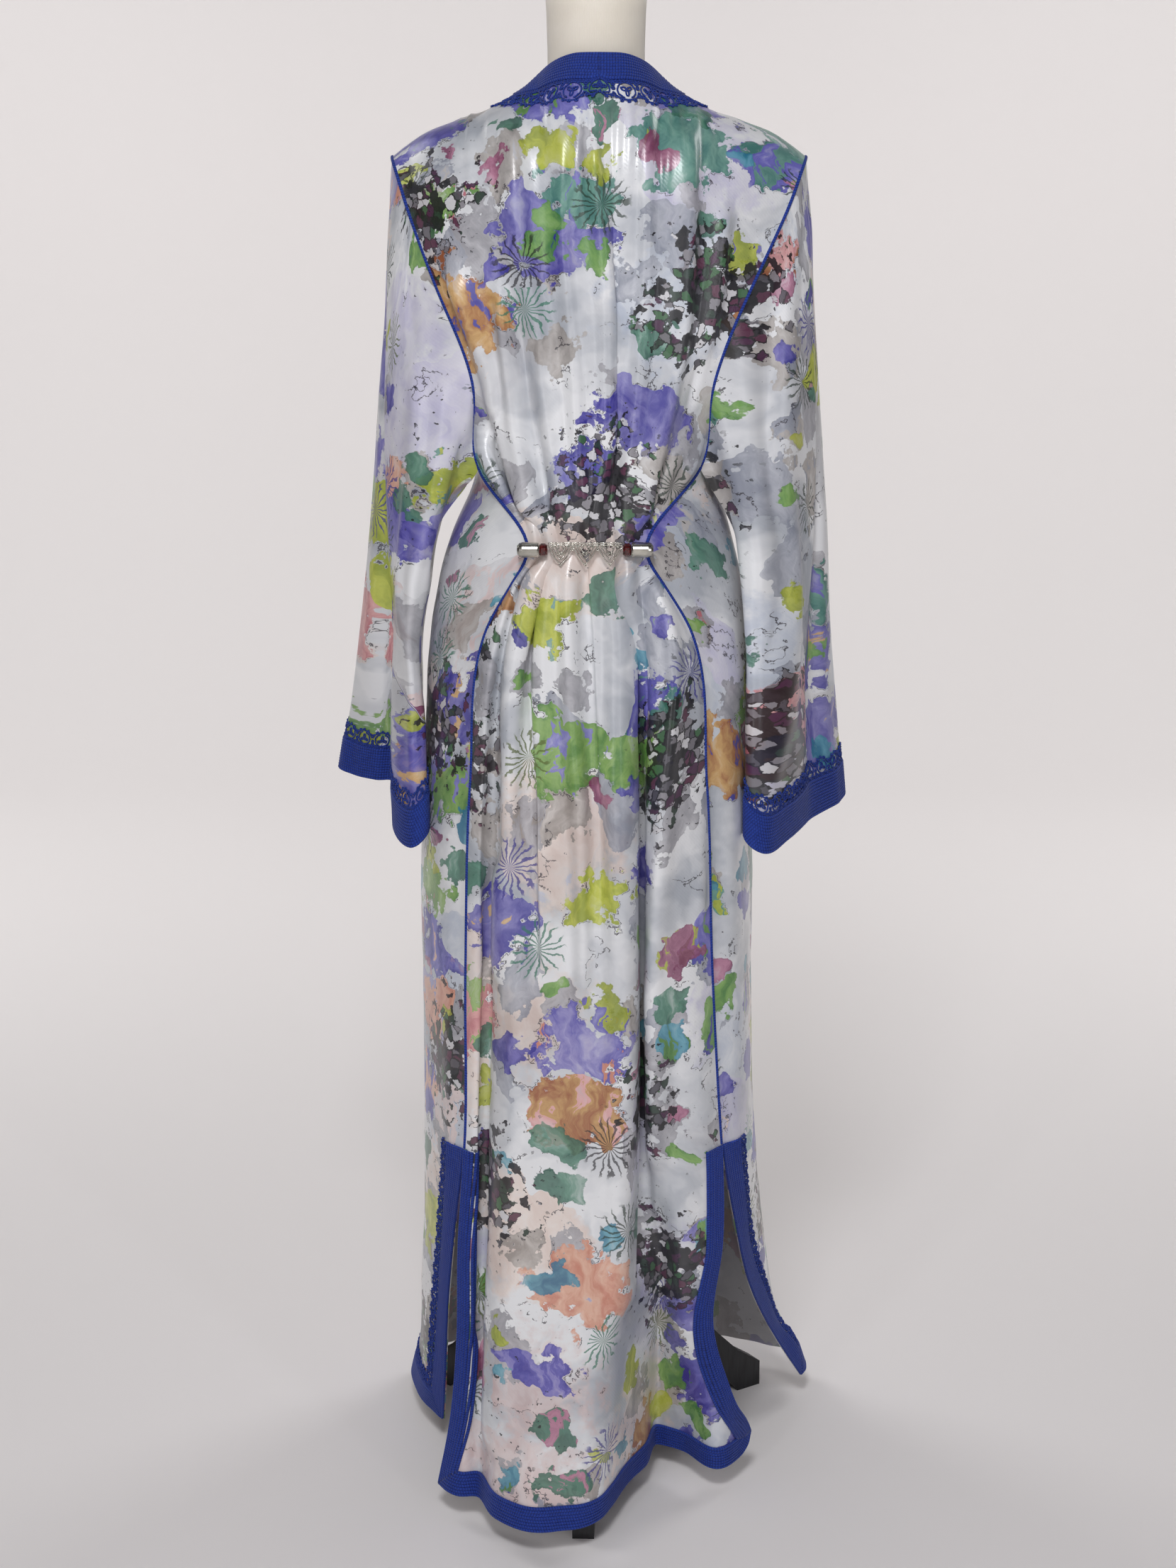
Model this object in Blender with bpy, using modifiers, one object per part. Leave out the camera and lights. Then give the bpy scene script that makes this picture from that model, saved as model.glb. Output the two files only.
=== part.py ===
# A Moroccan kaftan with a waist clip, on a dress form with a three-legged stand.
# Metres, +Z up. The back of the kaftan, which the photo shows, faces -Y.
import math

import bpy
import numpy as np

# Cloth and trim sizes
CLOTH = 0.0016
SEAM_GAP = 0.00022
LIFT = 0.0004
BRAID = 0.0014
LACE = 0.0010
HEM_BRAID_WIDTH = 0.027
HEM_LACE_WIDTH = 0.020
CUFF_BRAID_WIDTH = 0.040
CUFF_LACE_WIDTH = 0.020
NECK_LIFT = 0.0018
NECK_BRAID_WIDTH = 0.033
NECK_LACE_WIDTH = 0.025
PIPING_RADIUS = 0.0011
PIPED_GAP = 0.0018
PIPING_SEAT = 0.3

# Shoulder and neckline sizes
NECK_HALF = 0.058
NECK_SIDE = 1.4880
# Height of the shoulder ridge at distances from the middle of the neck
SHOULDER_RIDGE = ((0.0, 1.507), (0.030, 1.5045), (0.045, 1.4980), (0.058, 1.4880), (0.070, 1.4775),
                  (0.090, 1.4655), (0.122, 1.4520), (0.150, 1.4430), (0.172, 1.4345), (0.190, 1.4230), (0.205, 1.4118))
BACK_YOKE = 1.36
CHEST = 1.20
UNDERARM = 1.11
SLIT_TOP = 0.41
HEM = 0.03
V_BOTTOM = 1.31
V_ROUND = 1.6
BACK_NECK_DEPTH = 0.060
FRONT_NECK_DEPTH = 0.045
FLAT_HALF = 0.09

# Back panel: a height, then (x, y) of its fold stations from the left edge to the right
BACK_SECTIONS = (
    (1.36, ((-0.188, -0.050), (-0.160, -0.083), (-0.133, -0.102), (-0.095, -0.115), (-0.058, -0.118),
            (-0.042, -0.121), (-0.027, -0.123), (-0.008, -0.124), (0.006, -0.123), (0.013, -0.120),
            (0.020, -0.121), (0.043, -0.119), (0.081, -0.110), (0.126, -0.085), (0.186, -0.048))),
    (1.30, ((-0.164, -0.078), (-0.141, -0.100), (-0.121, -0.109), (-0.091, -0.117), (-0.057, -0.118),
            (-0.041, -0.122), (-0.026, -0.124), (-0.008, -0.125), (0.006, -0.124), (0.013, -0.119),
            (0.020, -0.121), (0.040, -0.121), (0.071, -0.116), (0.106, -0.104), (0.154, -0.083))),
    (1.20, ((-0.125, -0.088), (-0.108, -0.098), (-0.095, -0.104), (-0.076, -0.112), (-0.057, -0.113),
            (-0.039, -0.119), (-0.023, -0.122), (-0.006, -0.122), (0.007, -0.121), (0.013, -0.115),
            (0.019, -0.118), (0.035, -0.119), (0.055, -0.114), (0.080, -0.104), (0.114, -0.088))),
    (1.11, ((-0.120, -0.060), (-0.106, -0.086), (-0.094, -0.089), (-0.076, -0.106), (-0.057, -0.110),
            (-0.040, -0.120), (-0.022, -0.123), (-0.006, -0.121), (0.007, -0.121), (0.013, -0.113),
            (0.019, -0.115), (0.034, -0.118), (0.055, -0.110), (0.080, -0.090), (0.101, -0.060))),
    (1.038, ((-0.070, -0.126), (-0.062, -0.128), (-0.056, -0.124), (-0.049, -0.130), (-0.041, -0.127),
             (-0.031, -0.131), (-0.021, -0.132), (-0.011, -0.126), (-0.001, -0.131), (0.007, -0.129),
             (0.014, -0.124), (0.021, -0.130), (0.029, -0.130), (0.038, -0.127), (0.046, -0.126))),
    (1.00, ((-0.091, -0.115), (-0.083, -0.127), (-0.075, -0.120), (-0.065, -0.134), (-0.055, -0.127),
            (-0.042, -0.135), (-0.025, -0.137), (-0.009, -0.128), (0.005, -0.135), (0.014, -0.132),
            (0.021, -0.121), (0.029, -0.134), (0.042, -0.135), (0.056, -0.128), (0.069, -0.115))),
    (0.95, ((-0.113, -0.113), (-0.101, -0.128), (-0.090, -0.119), (-0.077, -0.138), (-0.065, -0.127),
            (-0.047, -0.140), (-0.026, -0.143), (-0.006, -0.131), (0.010, -0.140), (0.019, -0.136),
            (0.028, -0.120), (0.038, -0.138), (0.056, -0.140), (0.075, -0.130), (0.092, -0.114))),
    (0.80, ((-0.129, -0.112), (-0.117, -0.125), (-0.105, -0.115), (-0.087, -0.147), (-0.060, -0.140),
            (-0.039, -0.151), (-0.018, -0.154), (0.001, -0.146), (0.018, -0.152), (0.028, -0.127),
            (0.037, -0.122), (0.042, -0.139), (0.063, -0.144), (0.087, -0.134), (0.108, -0.112))),
    (0.60, ((-0.136, -0.116), (-0.121, -0.128), (-0.106, -0.118), (-0.084, -0.157), (-0.060, -0.155),
            (-0.038, -0.163), (-0.018, -0.167), (0.003, -0.165), (0.021, -0.160), (0.029, -0.127),
            (0.044, -0.118), (0.050, -0.138), (0.070, -0.143), (0.094, -0.134), (0.116, -0.112))),
    (0.41, ((-0.139, -0.122), (-0.126, -0.133), (-0.112, -0.123), (-0.092, -0.168), (-0.063, -0.172),
            (-0.038, -0.179), (-0.016, -0.183), (0.004, -0.181), (0.020, -0.173), (0.028, -0.134),
            (0.051, -0.116), (0.058, -0.137), (0.080, -0.141), (0.106, -0.130), (0.128, -0.110))),
    (0.30, ((-0.146, -0.126), (-0.131, -0.139), (-0.116, -0.130), (-0.096, -0.178), (-0.066, -0.188),
            (-0.040, -0.195), (-0.014, -0.198), (0.004, -0.193), (0.018, -0.183), (0.028, -0.146),
            (0.052, -0.116), (0.066, -0.112), (0.085, -0.132), (0.112, -0.122), (0.130, -0.104))),
    (0.20, ((-0.148, -0.130), (-0.134, -0.144), (-0.119, -0.136), (-0.099, -0.186), (-0.070, -0.203),
            (-0.041, -0.209), (-0.015, -0.211), (0.001, -0.204), (0.014, -0.186), (0.030, -0.152),
            (0.050, -0.108), (0.066, -0.078), (0.088, -0.112), (0.108, -0.113), (0.121, -0.100))),
    (0.10, ((-0.157, -0.132), (-0.141, -0.150), (-0.122, -0.147), (-0.103, -0.194), (-0.074, -0.216),
            (-0.044, -0.221), (-0.018, -0.220), (0.000, -0.207), (0.013, -0.184), (0.032, -0.144),
            (0.050, -0.098), (0.064, -0.056), (0.094, -0.080), (0.126, -0.105), (0.148, -0.088))),
    (0.03, ((-0.170, -0.130), (-0.150, -0.156), (-0.125, -0.160), (-0.106, -0.198), (-0.076, -0.222),
            (-0.046, -0.229), (-0.021, -0.225), (-0.003, -0.204), (0.011, -0.174), (0.030, -0.134),
            (0.050, -0.094), (0.062, -0.042), (0.096, -0.060), (0.130, -0.096), (0.166, -0.056))),
)
# Where the fold stations meet the shoulder seam and the neckline
BACK_TOP = (-0.205, -0.165, -0.122, -0.082, -0.058, -0.036, -0.018, -0.002, 0.009, 0.015,
            0.022, 0.058, 0.080, 0.122, 0.205)

# Front panel: a height, then (x, y) of its stations from the left edge round the front to the right
FRONT_SECTIONS = (
    (1.20, ((-0.138, 0.070), (-0.133, 0.080), (-0.125, 0.090), (-0.105, 0.112), (-0.075, 0.130),
            (-0.038, 0.136), (0.000, 0.131), (0.038, 0.136), (0.074, 0.130), (0.103, 0.112),
            (0.121, 0.090), (0.128, 0.080), (0.132, 0.070))),
    (1.15, ((-0.129, 0.028), (-0.129, 0.050), (-0.124, 0.068), (-0.107, 0.096), (-0.078, 0.122),
            (-0.038, 0.131), (0.000, 0.126), (0.038, 0.131), (0.075, 0.122), (0.103, 0.096),
            (0.120, 0.068), (0.126, 0.050), (0.127, 0.028))),
    (1.11, ((-0.120, -0.060), (-0.121, -0.018), (-0.123, 0.030), (-0.110, 0.077), (-0.077, 0.110),
            (-0.037, 0.123), (0.000, 0.120), (0.037, 0.123), (0.074, 0.110), (0.105, 0.077),
            (0.118, 0.030), (0.113, -0.018), (0.101, -0.060))),
    (1.038, ((-0.070, -0.126), (-0.116, -0.094), (-0.146, -0.032), (-0.145, 0.032), (-0.114, 0.088),
             (-0.060, 0.125), (0.000, 0.123), (0.060, 0.125), (0.109, 0.088), (0.133, 0.032),
             (0.132, -0.034), (0.100, -0.092), (0.046, -0.126))),
    (0.95, ((-0.113, -0.113), (-0.148, -0.078), (-0.168, -0.020), (-0.166, 0.045), (-0.130, 0.105),
            (-0.068, 0.140), (0.000, 0.136), (0.066, 0.140), (0.122, 0.105), (0.151, 0.045),
            (0.150, -0.022), (0.131, -0.078), (0.092, -0.114))),
    (0.80, ((-0.129, -0.112), (-0.159, -0.073), (-0.176, -0.010), (-0.172, 0.060), (-0.135, 0.120),
            (-0.070, 0.155), (0.000, 0.150), (0.070, 0.155), (0.130, 0.120), (0.162, 0.060),
            (0.163, -0.010), (0.143, -0.073), (0.108, -0.112))),
    (0.60, ((-0.136, -0.116), (-0.169, -0.070), (-0.187, 0.000), (-0.180, 0.075), (-0.140, 0.135),
            (-0.075, 0.172), (0.000, 0.166), (0.072, 0.172), (0.136, 0.135), (0.166, 0.075),
            (0.167, 0.000), (0.150, -0.074), (0.116, -0.112))),
    (0.41, ((-0.139, -0.122), (-0.173, -0.070), (-0.192, 0.005), (-0.186, 0.085), (-0.148, 0.148),
            (-0.080, 0.188), (0.000, 0.180), (0.078, 0.188), (0.144, 0.148), (0.171, 0.085),
            (0.172, 0.005), (0.157, -0.065), (0.128, -0.110))),
    (0.30, ((-0.152, -0.086), (-0.178, -0.045), (-0.195, 0.022), (-0.190, 0.097), (-0.156, 0.162),
            (-0.086, 0.199), (0.000, 0.190), (0.084, 0.199), (0.152, 0.162), (0.177, 0.105),
            (0.180, 0.040), (0.168, -0.016), (0.146, -0.060))),
    (0.20, ((-0.162, -0.048), (-0.184, -0.010), (-0.199, 0.048), (-0.196, 0.114), (-0.164, 0.176),
            (-0.092, 0.210), (0.000, 0.200), (0.090, 0.210), (0.160, 0.176), (0.188, 0.128),
            (0.190, 0.075), (0.181, 0.032), (0.167, 0.000))),
    (0.10, ((-0.168, -0.014), (-0.189, 0.016), (-0.203, 0.064), (-0.205, 0.128), (-0.176, 0.190),
            (-0.098, 0.220), (0.000, 0.208), (0.096, 0.220), (0.168, 0.196), (0.204, 0.164),
            (0.214, 0.132), (0.211, 0.100), (0.203, 0.075))),
    (0.03, ((-0.173, 0.014), (-0.191, 0.036), (-0.208, 0.078), (-0.218, 0.142), (-0.194, 0.204),
            (-0.106, 0.228), (0.000, 0.214), (0.102, 0.228), (0.176, 0.212), (0.218, 0.190),
            (0.243, 0.166), (0.247, 0.143), (0.237, 0.120))),
)
FRONT_TOP = (-0.205, -0.122, -0.080, -0.058, -0.040, -0.020, 0.000, 0.020, 0.040, 0.058,
             0.080, 0.122, 0.205)

# Sleeves: a share of the length, then (x, y, z) of twelve stations round, from the shoulder line
# over the back and the underarm to the front
LEFT_SLEEVE = (
    (0.25, ((-0.217, 0.005, 1.25), (-0.213, -0.020, 1.23), (-0.206, -0.040, 1.20), (-0.195, -0.062, 1.16),
            (-0.179, -0.073, 1.11), (-0.162, -0.068, 1.06), (-0.157, -0.044, 1.03), (-0.160, 0.008, 1.03),
            (-0.165, 0.050, 1.06), (-0.178, 0.080, 1.11), (-0.196, 0.080, 1.16), (-0.211, 0.045, 1.21))),
    (0.50, ((-0.233, 0.030, 1.09), (-0.228, 0.008, 1.08), (-0.217, -0.004, 1.06), (-0.206, -0.020, 1.03),
            (-0.202, -0.044, 1.00), (-0.192, -0.060, 0.97), (-0.182, -0.045, 0.94), (-0.183, 0.008, 0.93),
            (-0.184, 0.055, 0.94), (-0.196, 0.092, 0.98), (-0.212, 0.105, 1.03), (-0.227, 0.075, 1.07))),
    (0.75, ((-0.254, 0.072, 0.92), (-0.245, 0.050, 0.92), (-0.228, 0.036, 0.91), (-0.211, 0.028, 0.90),
            (-0.206, -0.026, 0.88), (-0.193, -0.060, 0.86), (-0.177, -0.052, 0.84), (-0.187, 0.008, 0.84),
            (-0.187, 0.070, 0.84), (-0.200, 0.115, 0.86), (-0.225, 0.135, 0.89), (-0.248, 0.110, 0.91))),
    (1.00, ((-0.283, 0.120, 0.761), (-0.266, 0.104, 0.757), (-0.243, 0.090, 0.755), (-0.219, 0.080, 0.752),
            (-0.211, -0.022, 0.727), (-0.193, -0.063, 0.718), (-0.178, -0.054, 0.735), (-0.190, 0.010, 0.745),
            (-0.189, 0.080, 0.748), (-0.206, 0.136, 0.752), (-0.239, 0.165, 0.757), (-0.272, 0.152, 0.760))),
)
RIGHT_SLEEVE = (
    (0.25, ((0.217, 0.005, 1.25), (0.213, -0.020, 1.23), (0.204, -0.042, 1.20), (0.188, -0.062, 1.16),
            (0.168, -0.075, 1.11), (0.150, -0.074, 1.06), (0.139, -0.059, 1.035), (0.161, 0.004, 1.03),
            (0.162, 0.050, 1.06), (0.172, 0.080, 1.11), (0.191, 0.082, 1.16), (0.210, 0.045, 1.21))),
    (0.50, ((0.233, 0.030, 1.09), (0.229, 0.008, 1.08), (0.217, -0.008, 1.06), (0.203, -0.024, 1.03),
            (0.196, -0.052, 1.00), (0.171, -0.080, 0.97), (0.147, -0.074, 0.94), (0.177, 0.002, 0.93),
            (0.176, 0.055, 0.94), (0.186, 0.092, 0.98), (0.205, 0.106, 1.03), (0.226, 0.075, 1.07))),
    (0.75, ((0.248, 0.060, 0.90), (0.242, 0.034, 0.90), (0.226, 0.018, 0.89), (0.207, 0.000, 0.88),
            (0.199, -0.050, 0.87), (0.171, -0.088, 0.86), (0.148, -0.080, 0.85), (0.174, -0.004, 0.85),
            (0.174, 0.056, 0.85), (0.188, 0.108, 0.87), (0.216, 0.128, 0.89), (0.241, 0.102, 0.90))),
    (1.00, ((0.267, 0.090, 0.741), (0.259, 0.064, 0.736), (0.246, 0.044, 0.733), (0.219, 0.006, 0.728),
            (0.194, -0.048, 0.723), (0.170, -0.088, 0.718), (0.151, -0.078, 0.735), (0.176, -0.002, 0.755),
            (0.176, 0.066, 0.757), (0.190, 0.124, 0.752), (0.221, 0.148, 0.746), (0.254, 0.130, 0.742))),
)

# Rows of the grids
YOKE_ROWS = (0.0, 0.22, 0.42, 0.62, 0.81, 1.0)
CHEST_ROWS = (0.0, 0.12, 0.26, 0.44, 0.66, 1.0)
BACK_ARMHOLE_HEIGHTS = (1.30, 1.24, 1.17)
FRONT_ARMHOLE_HEIGHTS = (1.165, 1.145, 1.125)
BODY_HEIGHTS = (UNDERARM, 1.085, 1.06, 1.038, 1.01, 0.97, 0.90, 0.80, 0.69, 0.58, 0.49, SLIT_TOP,
                0.33, 0.25, 0.17, 0.10)
BACK_HEM_HEIGHTS = (HEM + HEM_BRAID_WIDTH, HEM)
FRONT_HEM_HEIGHTS = (HEM + HEM_BRAID_WIDTH + HEM_LACE_WIDTH, HEM + HEM_BRAID_WIDTH, HEM)
# Columns next to a side edge, in stations, above the slit
BACK_EDGE_COLUMNS = (0.65, 1.30)
FRONT_EDGE_COLUMNS = (0.60, 1.15)
SLEEVE_ROWS = (0.0, 0.05, 0.12, 0.20, 0.30, 0.41, 0.52, 0.64, 0.76)
NECK_STEPS = 48
NECK_MARCH = 0.0055
NECK_START = 0.002
NECK_EDGE = 0.0006
PIPING_STARTS = 0.6
PIPING_ENDS = 0.06

# Dress form: height, half width, depth to the back, depth to the front, squareness
FORM_SECTIONS = (
    (0.790, 0.1500, 0.088, 0.112, 2.2), (0.800, 0.1560, 0.094, 0.118, 2.2), (0.860, 0.1550, 0.096, 0.118, 2.2),
    (0.940, 0.1420, 0.094, 0.108, 2.2), (1.010, 0.1210, 0.086, 0.098, 2.2), (1.060, 0.1080, 0.082, 0.094, 2.2),
    (1.120, 0.1060, 0.088, 0.104, 2.2), (1.180, 0.1100, 0.097, 0.116, 2.2), (1.240, 0.1200, 0.104, 0.116, 2.2),
    (1.300, 0.1340, 0.106, 0.102, 2.2), (1.350, 0.1510, 0.101, 0.078, 2.2), (1.385, 0.1680, 0.092, 0.060, 2.2),
    (1.405, 0.1740, 0.080, 0.048, 2.2), (1.420, 0.1680, 0.072, 0.042, 2.2), (1.432, 0.1510, 0.064, 0.036, 2.2),
    (1.445, 0.1180, 0.057, 0.034, 2.2), (1.457, 0.0800, 0.051, 0.028, 2.1), (1.472, 0.0560, 0.046, 0.029, 2.0),
    (1.492, 0.0480, 0.044, 0.034, 2.0), (1.515, 0.0480, 0.045, 0.041, 2.0), (1.550, 0.0490, 0.046, 0.044, 2.0),
    (1.580, 0.0510, 0.048, 0.048, 2.0),
)
FORM_MIDDLE = -0.003
FORM_SIDES = 28
CAP_HEIGHT = 0.014

# Stand
POLE_AT = (-0.008, 0.040)
POLE_RADIUS = 0.0125
HUB_PROFILE = ((0.0, 0.118), (0.020, 0.118), (0.0262, 0.124), (0.0262, 0.196), (0.020, 0.206), (0.0165, 0.214),
               (0.0, 0.214))
FORM_BASE = 0.012
GAP = 0.0003
LEG_ANGLES = (("near", -92.0), ("right", 33.0), ("left", 143.0))
LEG_HALF_WIDTH = 0.0115
# distance from the pole, underside, top
LEG_OUTLINE = ((0.027, 0.128, 0.186), (0.060, 0.122, 0.172), (0.100, 0.102, 0.146), (0.140, 0.072, 0.114),
               (0.172, 0.038, 0.080), (0.200, 0.000, 0.052), (0.232, 0.000, 0.030))

# Waist clip
CLIP_HEIGHT = 1.038
CLIP_Y = -0.1390
CLAMP_PROFILE = ((0.0, 0.0), (0.0042, 0.0004), (0.0068, 0.0024), (0.0075, 0.0052), (0.0075, 0.0200), (0.0066, 0.0215),
                 (0.0, 0.0215))
COLLAR_PROFILE = ((0.0, 0.0), (0.0048, 0.0), (0.0064, 0.0020), (0.0064, 0.0060), (0.0048, 0.0080), (0.0, 0.0080))
LEFT_CLAMP_END = -0.0805
RIGHT_CLAMP_END = 0.053
BAR_THICKNESS = 0.0018
BAR_HALF_HEIGHT = 0.0070
BAR_SCALLOPS = 5
BAR_STEPS = 30

# name: colour, roughness, metallic
MATERIALS = {
    "printed_satin": ((0.72, 0.72, 0.76), 0.35, 0.0),
    "blue_braid": ((0.022, 0.045, 0.25), 0.70, 0.0),
    "form_fabric": ((0.80, 0.74, 0.62), 0.85, 0.0),
    "black_wood": ((0.012, 0.012, 0.013), 0.40, 0.0),
    "silver": ((0.72, 0.71, 0.66), 0.25, 1.0),
    "red_stone": ((0.20, 0.015, 0.02), 0.25, 0.0),
}


def clear_scene():
    for obj in list(bpy.data.objects):
        bpy.data.objects.remove(obj)
    collection = bpy.data.collections.new("kaftan_on_form")
    bpy.context.scene.collection.children.link(collection)
    return collection


def make_material(name):
    colour, roughness, metallic = MATERIALS[name]
    material = bpy.data.materials.new(name)
    material.use_nodes = True
    shader = material.node_tree.nodes["Principled BSDF"]
    shader.inputs["Base Color"].default_value = (*colour, 1.0)
    shader.inputs["Roughness"].default_value = roughness
    shader.inputs["Metallic"].default_value = metallic
    return material


def add_object(name, points, faces, material, smooth=True):
    """A closed mesh object whose faces point out."""
    points = np.asarray(points, float)
    volume = sum(
        np.dot(points[face[0]], np.cross(points[face[k]], points[face[k + 1]]))
        for face in faces
        for k in range(1, len(face) - 1)
    )
    if volume < 0:
        faces = [face[::-1] for face in faces]
    mesh = bpy.data.meshes.new(name)
    mesh.from_pydata(points.tolist(), [], faces)
    mesh.polygons.foreach_set("use_smooth", [smooth] * len(mesh.polygons))
    mesh.materials.append(material)
    obj = bpy.data.objects.new(name, mesh)
    collection.objects.link(obj)
    return obj


def unit(vectors):
    vectors = np.asarray(vectors, float)
    return vectors / np.maximum(np.linalg.norm(vectors, axis=-1, keepdims=True), 1e-12)


def spline(knots, values, at):
    """Smooth curve through values at rising knots, with the slopes of their neighbours."""
    knots, values, at = np.asarray(knots, float), np.asarray(values, float), np.atleast_1d(at).astype(float)
    steps = np.diff(knots).reshape((-1,) + (1,) * (values.ndim - 1))
    slopes = np.diff(values, axis=0) / steps
    inner = (slopes[:-1] * steps[1:] + slopes[1:] * steps[:-1]) / (steps[:-1] + steps[1:])
    tangents = np.concatenate([slopes[:1], inner, slopes[-1:]])
    i = np.clip(np.searchsorted(knots, at, side="right") - 1, 0, len(knots) - 2)
    h = steps[i]
    t = ((at - knots[i]) / (knots[i + 1] - knots[i])).reshape(h.shape)
    return (
        (2 * t**3 - 3 * t**2 + 1) * values[i]
        + (t**3 - 2 * t**2 + t) * h * tangents[i]
        + (3 * t**2 - 2 * t**3) * values[i + 1]
        + (t**3 - t**2) * h * tangents[i + 1]
    )


def section_at(sections, height):
    """The (x, y) stations at a height, between those of the table."""
    rising = sections[::-1]
    return spline([row[0] for row in rising], [row[1] for row in rising], height)[0]


# The shoulders: height of the ridge, and depth behind or before it

def shoulder_height(x):
    distances, heights = zip(*SHOULDER_RIDGE)
    return spline(distances, heights, np.clip(np.abs(x), 0.0, distances[-1]))


def neck_share(x):
    return np.maximum(0.0, 1.0 - (np.abs(x) / NECK_HALF) ** 2)


def flatness_at(x):
    """How far the surface falls straight from its top edge: 1 at the neck, 0.5 on a rounded shoulder."""
    return 0.5 + 0.5 * np.clip(1.0 - np.abs(x) / FLAT_HALF, 0.0, 1.0)


def yoke_depth(stations, x):
    return np.abs(spline(stations[:, 0], stations[:, 1], np.clip(x, stations[0, 0], stations[-1, 0])))


def shoulder_point(x, wrap):
    """A point of the upper body: wrap is 0 on the shoulder ridge, -1 at the yoke, 1 at the chest."""
    x, wrap = np.atleast_1d(x).astype(float), np.atleast_1d(wrap).astype(float)
    back = wrap < 0
    drop = np.abs(wrap) ** (1.0 / flatness_at(x))
    ridge = shoulder_height(x)
    level = np.where(back, BACK_YOKE, CHEST)
    full = np.where(back, yoke_depth(BACK_STATIONS, x), yoke_depth(FRONT_STATIONS, x))
    start = np.where(back, BACK_NECK_DEPTH, FRONT_NECK_DEPTH) * neck_share(x)
    share = (1.0 - (1.0 - np.minimum(drop, 1.0)) ** 2) ** flatness_at(x)
    y = (start + (full - start) * share) * np.where(back, -1.0, 1.0)
    return np.stack([x, y, ridge - (ridge - level) * drop], axis=-1)


def neckline_wrap(x):
    """Wrap of the neckline's V at x: 0 at the side of the neck."""
    height = V_BOTTOM + (NECK_SIDE - V_BOTTOM) * (np.minimum(np.abs(x), NECK_HALF) / NECK_HALF) ** V_ROUND
    ridge = shoulder_height(x)
    return np.clip((ridge - height) / (ridge - CHEST), 0.0, 1.0) ** flatness_at(x)


BACK_STATIONS = section_at(BACK_SECTIONS, BACK_YOKE)
FRONT_STATIONS = section_at(FRONT_SECTIONS, CHEST)


def edge_columns(panel, height, widths, side):
    """Stations that lie the given widths inside a panel's edge at a height."""
    stations = section_at(panel, height)
    if side > 0:
        stations = stations[::-1]
    at = np.linspace(0.0, 3.0, 91)
    points = spline(range(len(stations)), stations, at)
    lengths = np.concatenate([[0.0], np.cumsum(np.linalg.norm(np.diff(points, axis=0), axis=1))])
    return tuple(np.interp(widths, lengths, at))


def row_columns(count, left, right):
    """Station numbers of a row's points: the edge, two lines beside it, then every half station."""
    middle = [step / 2.0 for step in range(4, 2 * (count - 3) + 1)]
    last = count - 1.0
    return np.array([0.0, *left, *middle, last - right[1], last - right[0], last])


def body_rows(panel, heights, widths, above):
    """Rows of a panel below the yoke. Under the slit's top the trim's lines keep their widths."""
    rows = []
    for height in heights:
        left = right = above
        if height <= SLIT_TOP:
            left = edge_columns(panel, height, widths, -1)
            right = edge_columns(panel, height, widths, 1)
        stations = section_at(panel, height)
        row = spline(range(len(stations)), stations, row_columns(len(stations), left, right))
        rows.append(np.column_stack([row, np.full(len(row), height)]))
    return rows


def upper_rows(tops, stations, shares, side, above):
    """Rows from the shoulder seam and neckline down to the yoke (side -1) or the chest (side 1)."""
    columns = row_columns(len(tops), above, above)
    top = spline(range(len(tops)), tops, columns)
    low = spline(range(len(tops)), stations[:, 0], columns)
    start = neckline_wrap(top) if side > 0 else np.zeros(len(top))
    rows = []
    for share in shares:
        wrap = start + (1.0 - start) * share
        x = top + (low - top) * wrap ** (1.0 / flatness_at(top))
        rows.append(shoulder_point(x, side * np.maximum(wrap, 1e-6)))
    return rows


def build_panels():
    """Inner grids of the two panels. Their rows match from the underarm to the top of the slit."""
    back = upper_rows(BACK_TOP, BACK_STATIONS, YOKE_ROWS, -1, BACK_EDGE_COLUMNS)
    back += body_rows(BACK_SECTIONS, BACK_ARMHOLE_HEIGHTS + BODY_HEIGHTS + BACK_HEM_HEIGHTS,
                      (HEM_BRAID_WIDTH / 2, HEM_BRAID_WIDTH), BACK_EDGE_COLUMNS)
    front = upper_rows(FRONT_TOP, FRONT_STATIONS, CHEST_ROWS, 1, FRONT_EDGE_COLUMNS)
    front += body_rows(FRONT_SECTIONS, FRONT_ARMHOLE_HEIGHTS + BODY_HEIGHTS + FRONT_HEM_HEIGHTS,
                       (HEM_BRAID_WIDTH, HEM_BRAID_WIDTH + HEM_LACE_WIDTH), FRONT_EDGE_COLUMNS)
    back, front = np.array(back), np.array(front)
    for row in range(ARMHOLE_ROW, SLIT_ROW + 1):
        for edge in (0, -1):
            back[row, edge] = front[row, edge] = (back[row, edge] + front[row, edge]) / 2
    return back, front


def armhole_loop(back, front, edge):
    """The edges of both panels round an armhole: down the back, and up the front."""
    return np.concatenate([back[: ARMHOLE_ROW + 1, edge], front[ARMHOLE_ROW - 1 : 0 : -1, edge]])


def with_middles(loop):
    """The loop's points, with the middle of each side between them."""
    return np.stack([loop, (loop + np.roll(loop, -1, axis=0)) / 2], axis=1).reshape(-1, 3)


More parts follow.
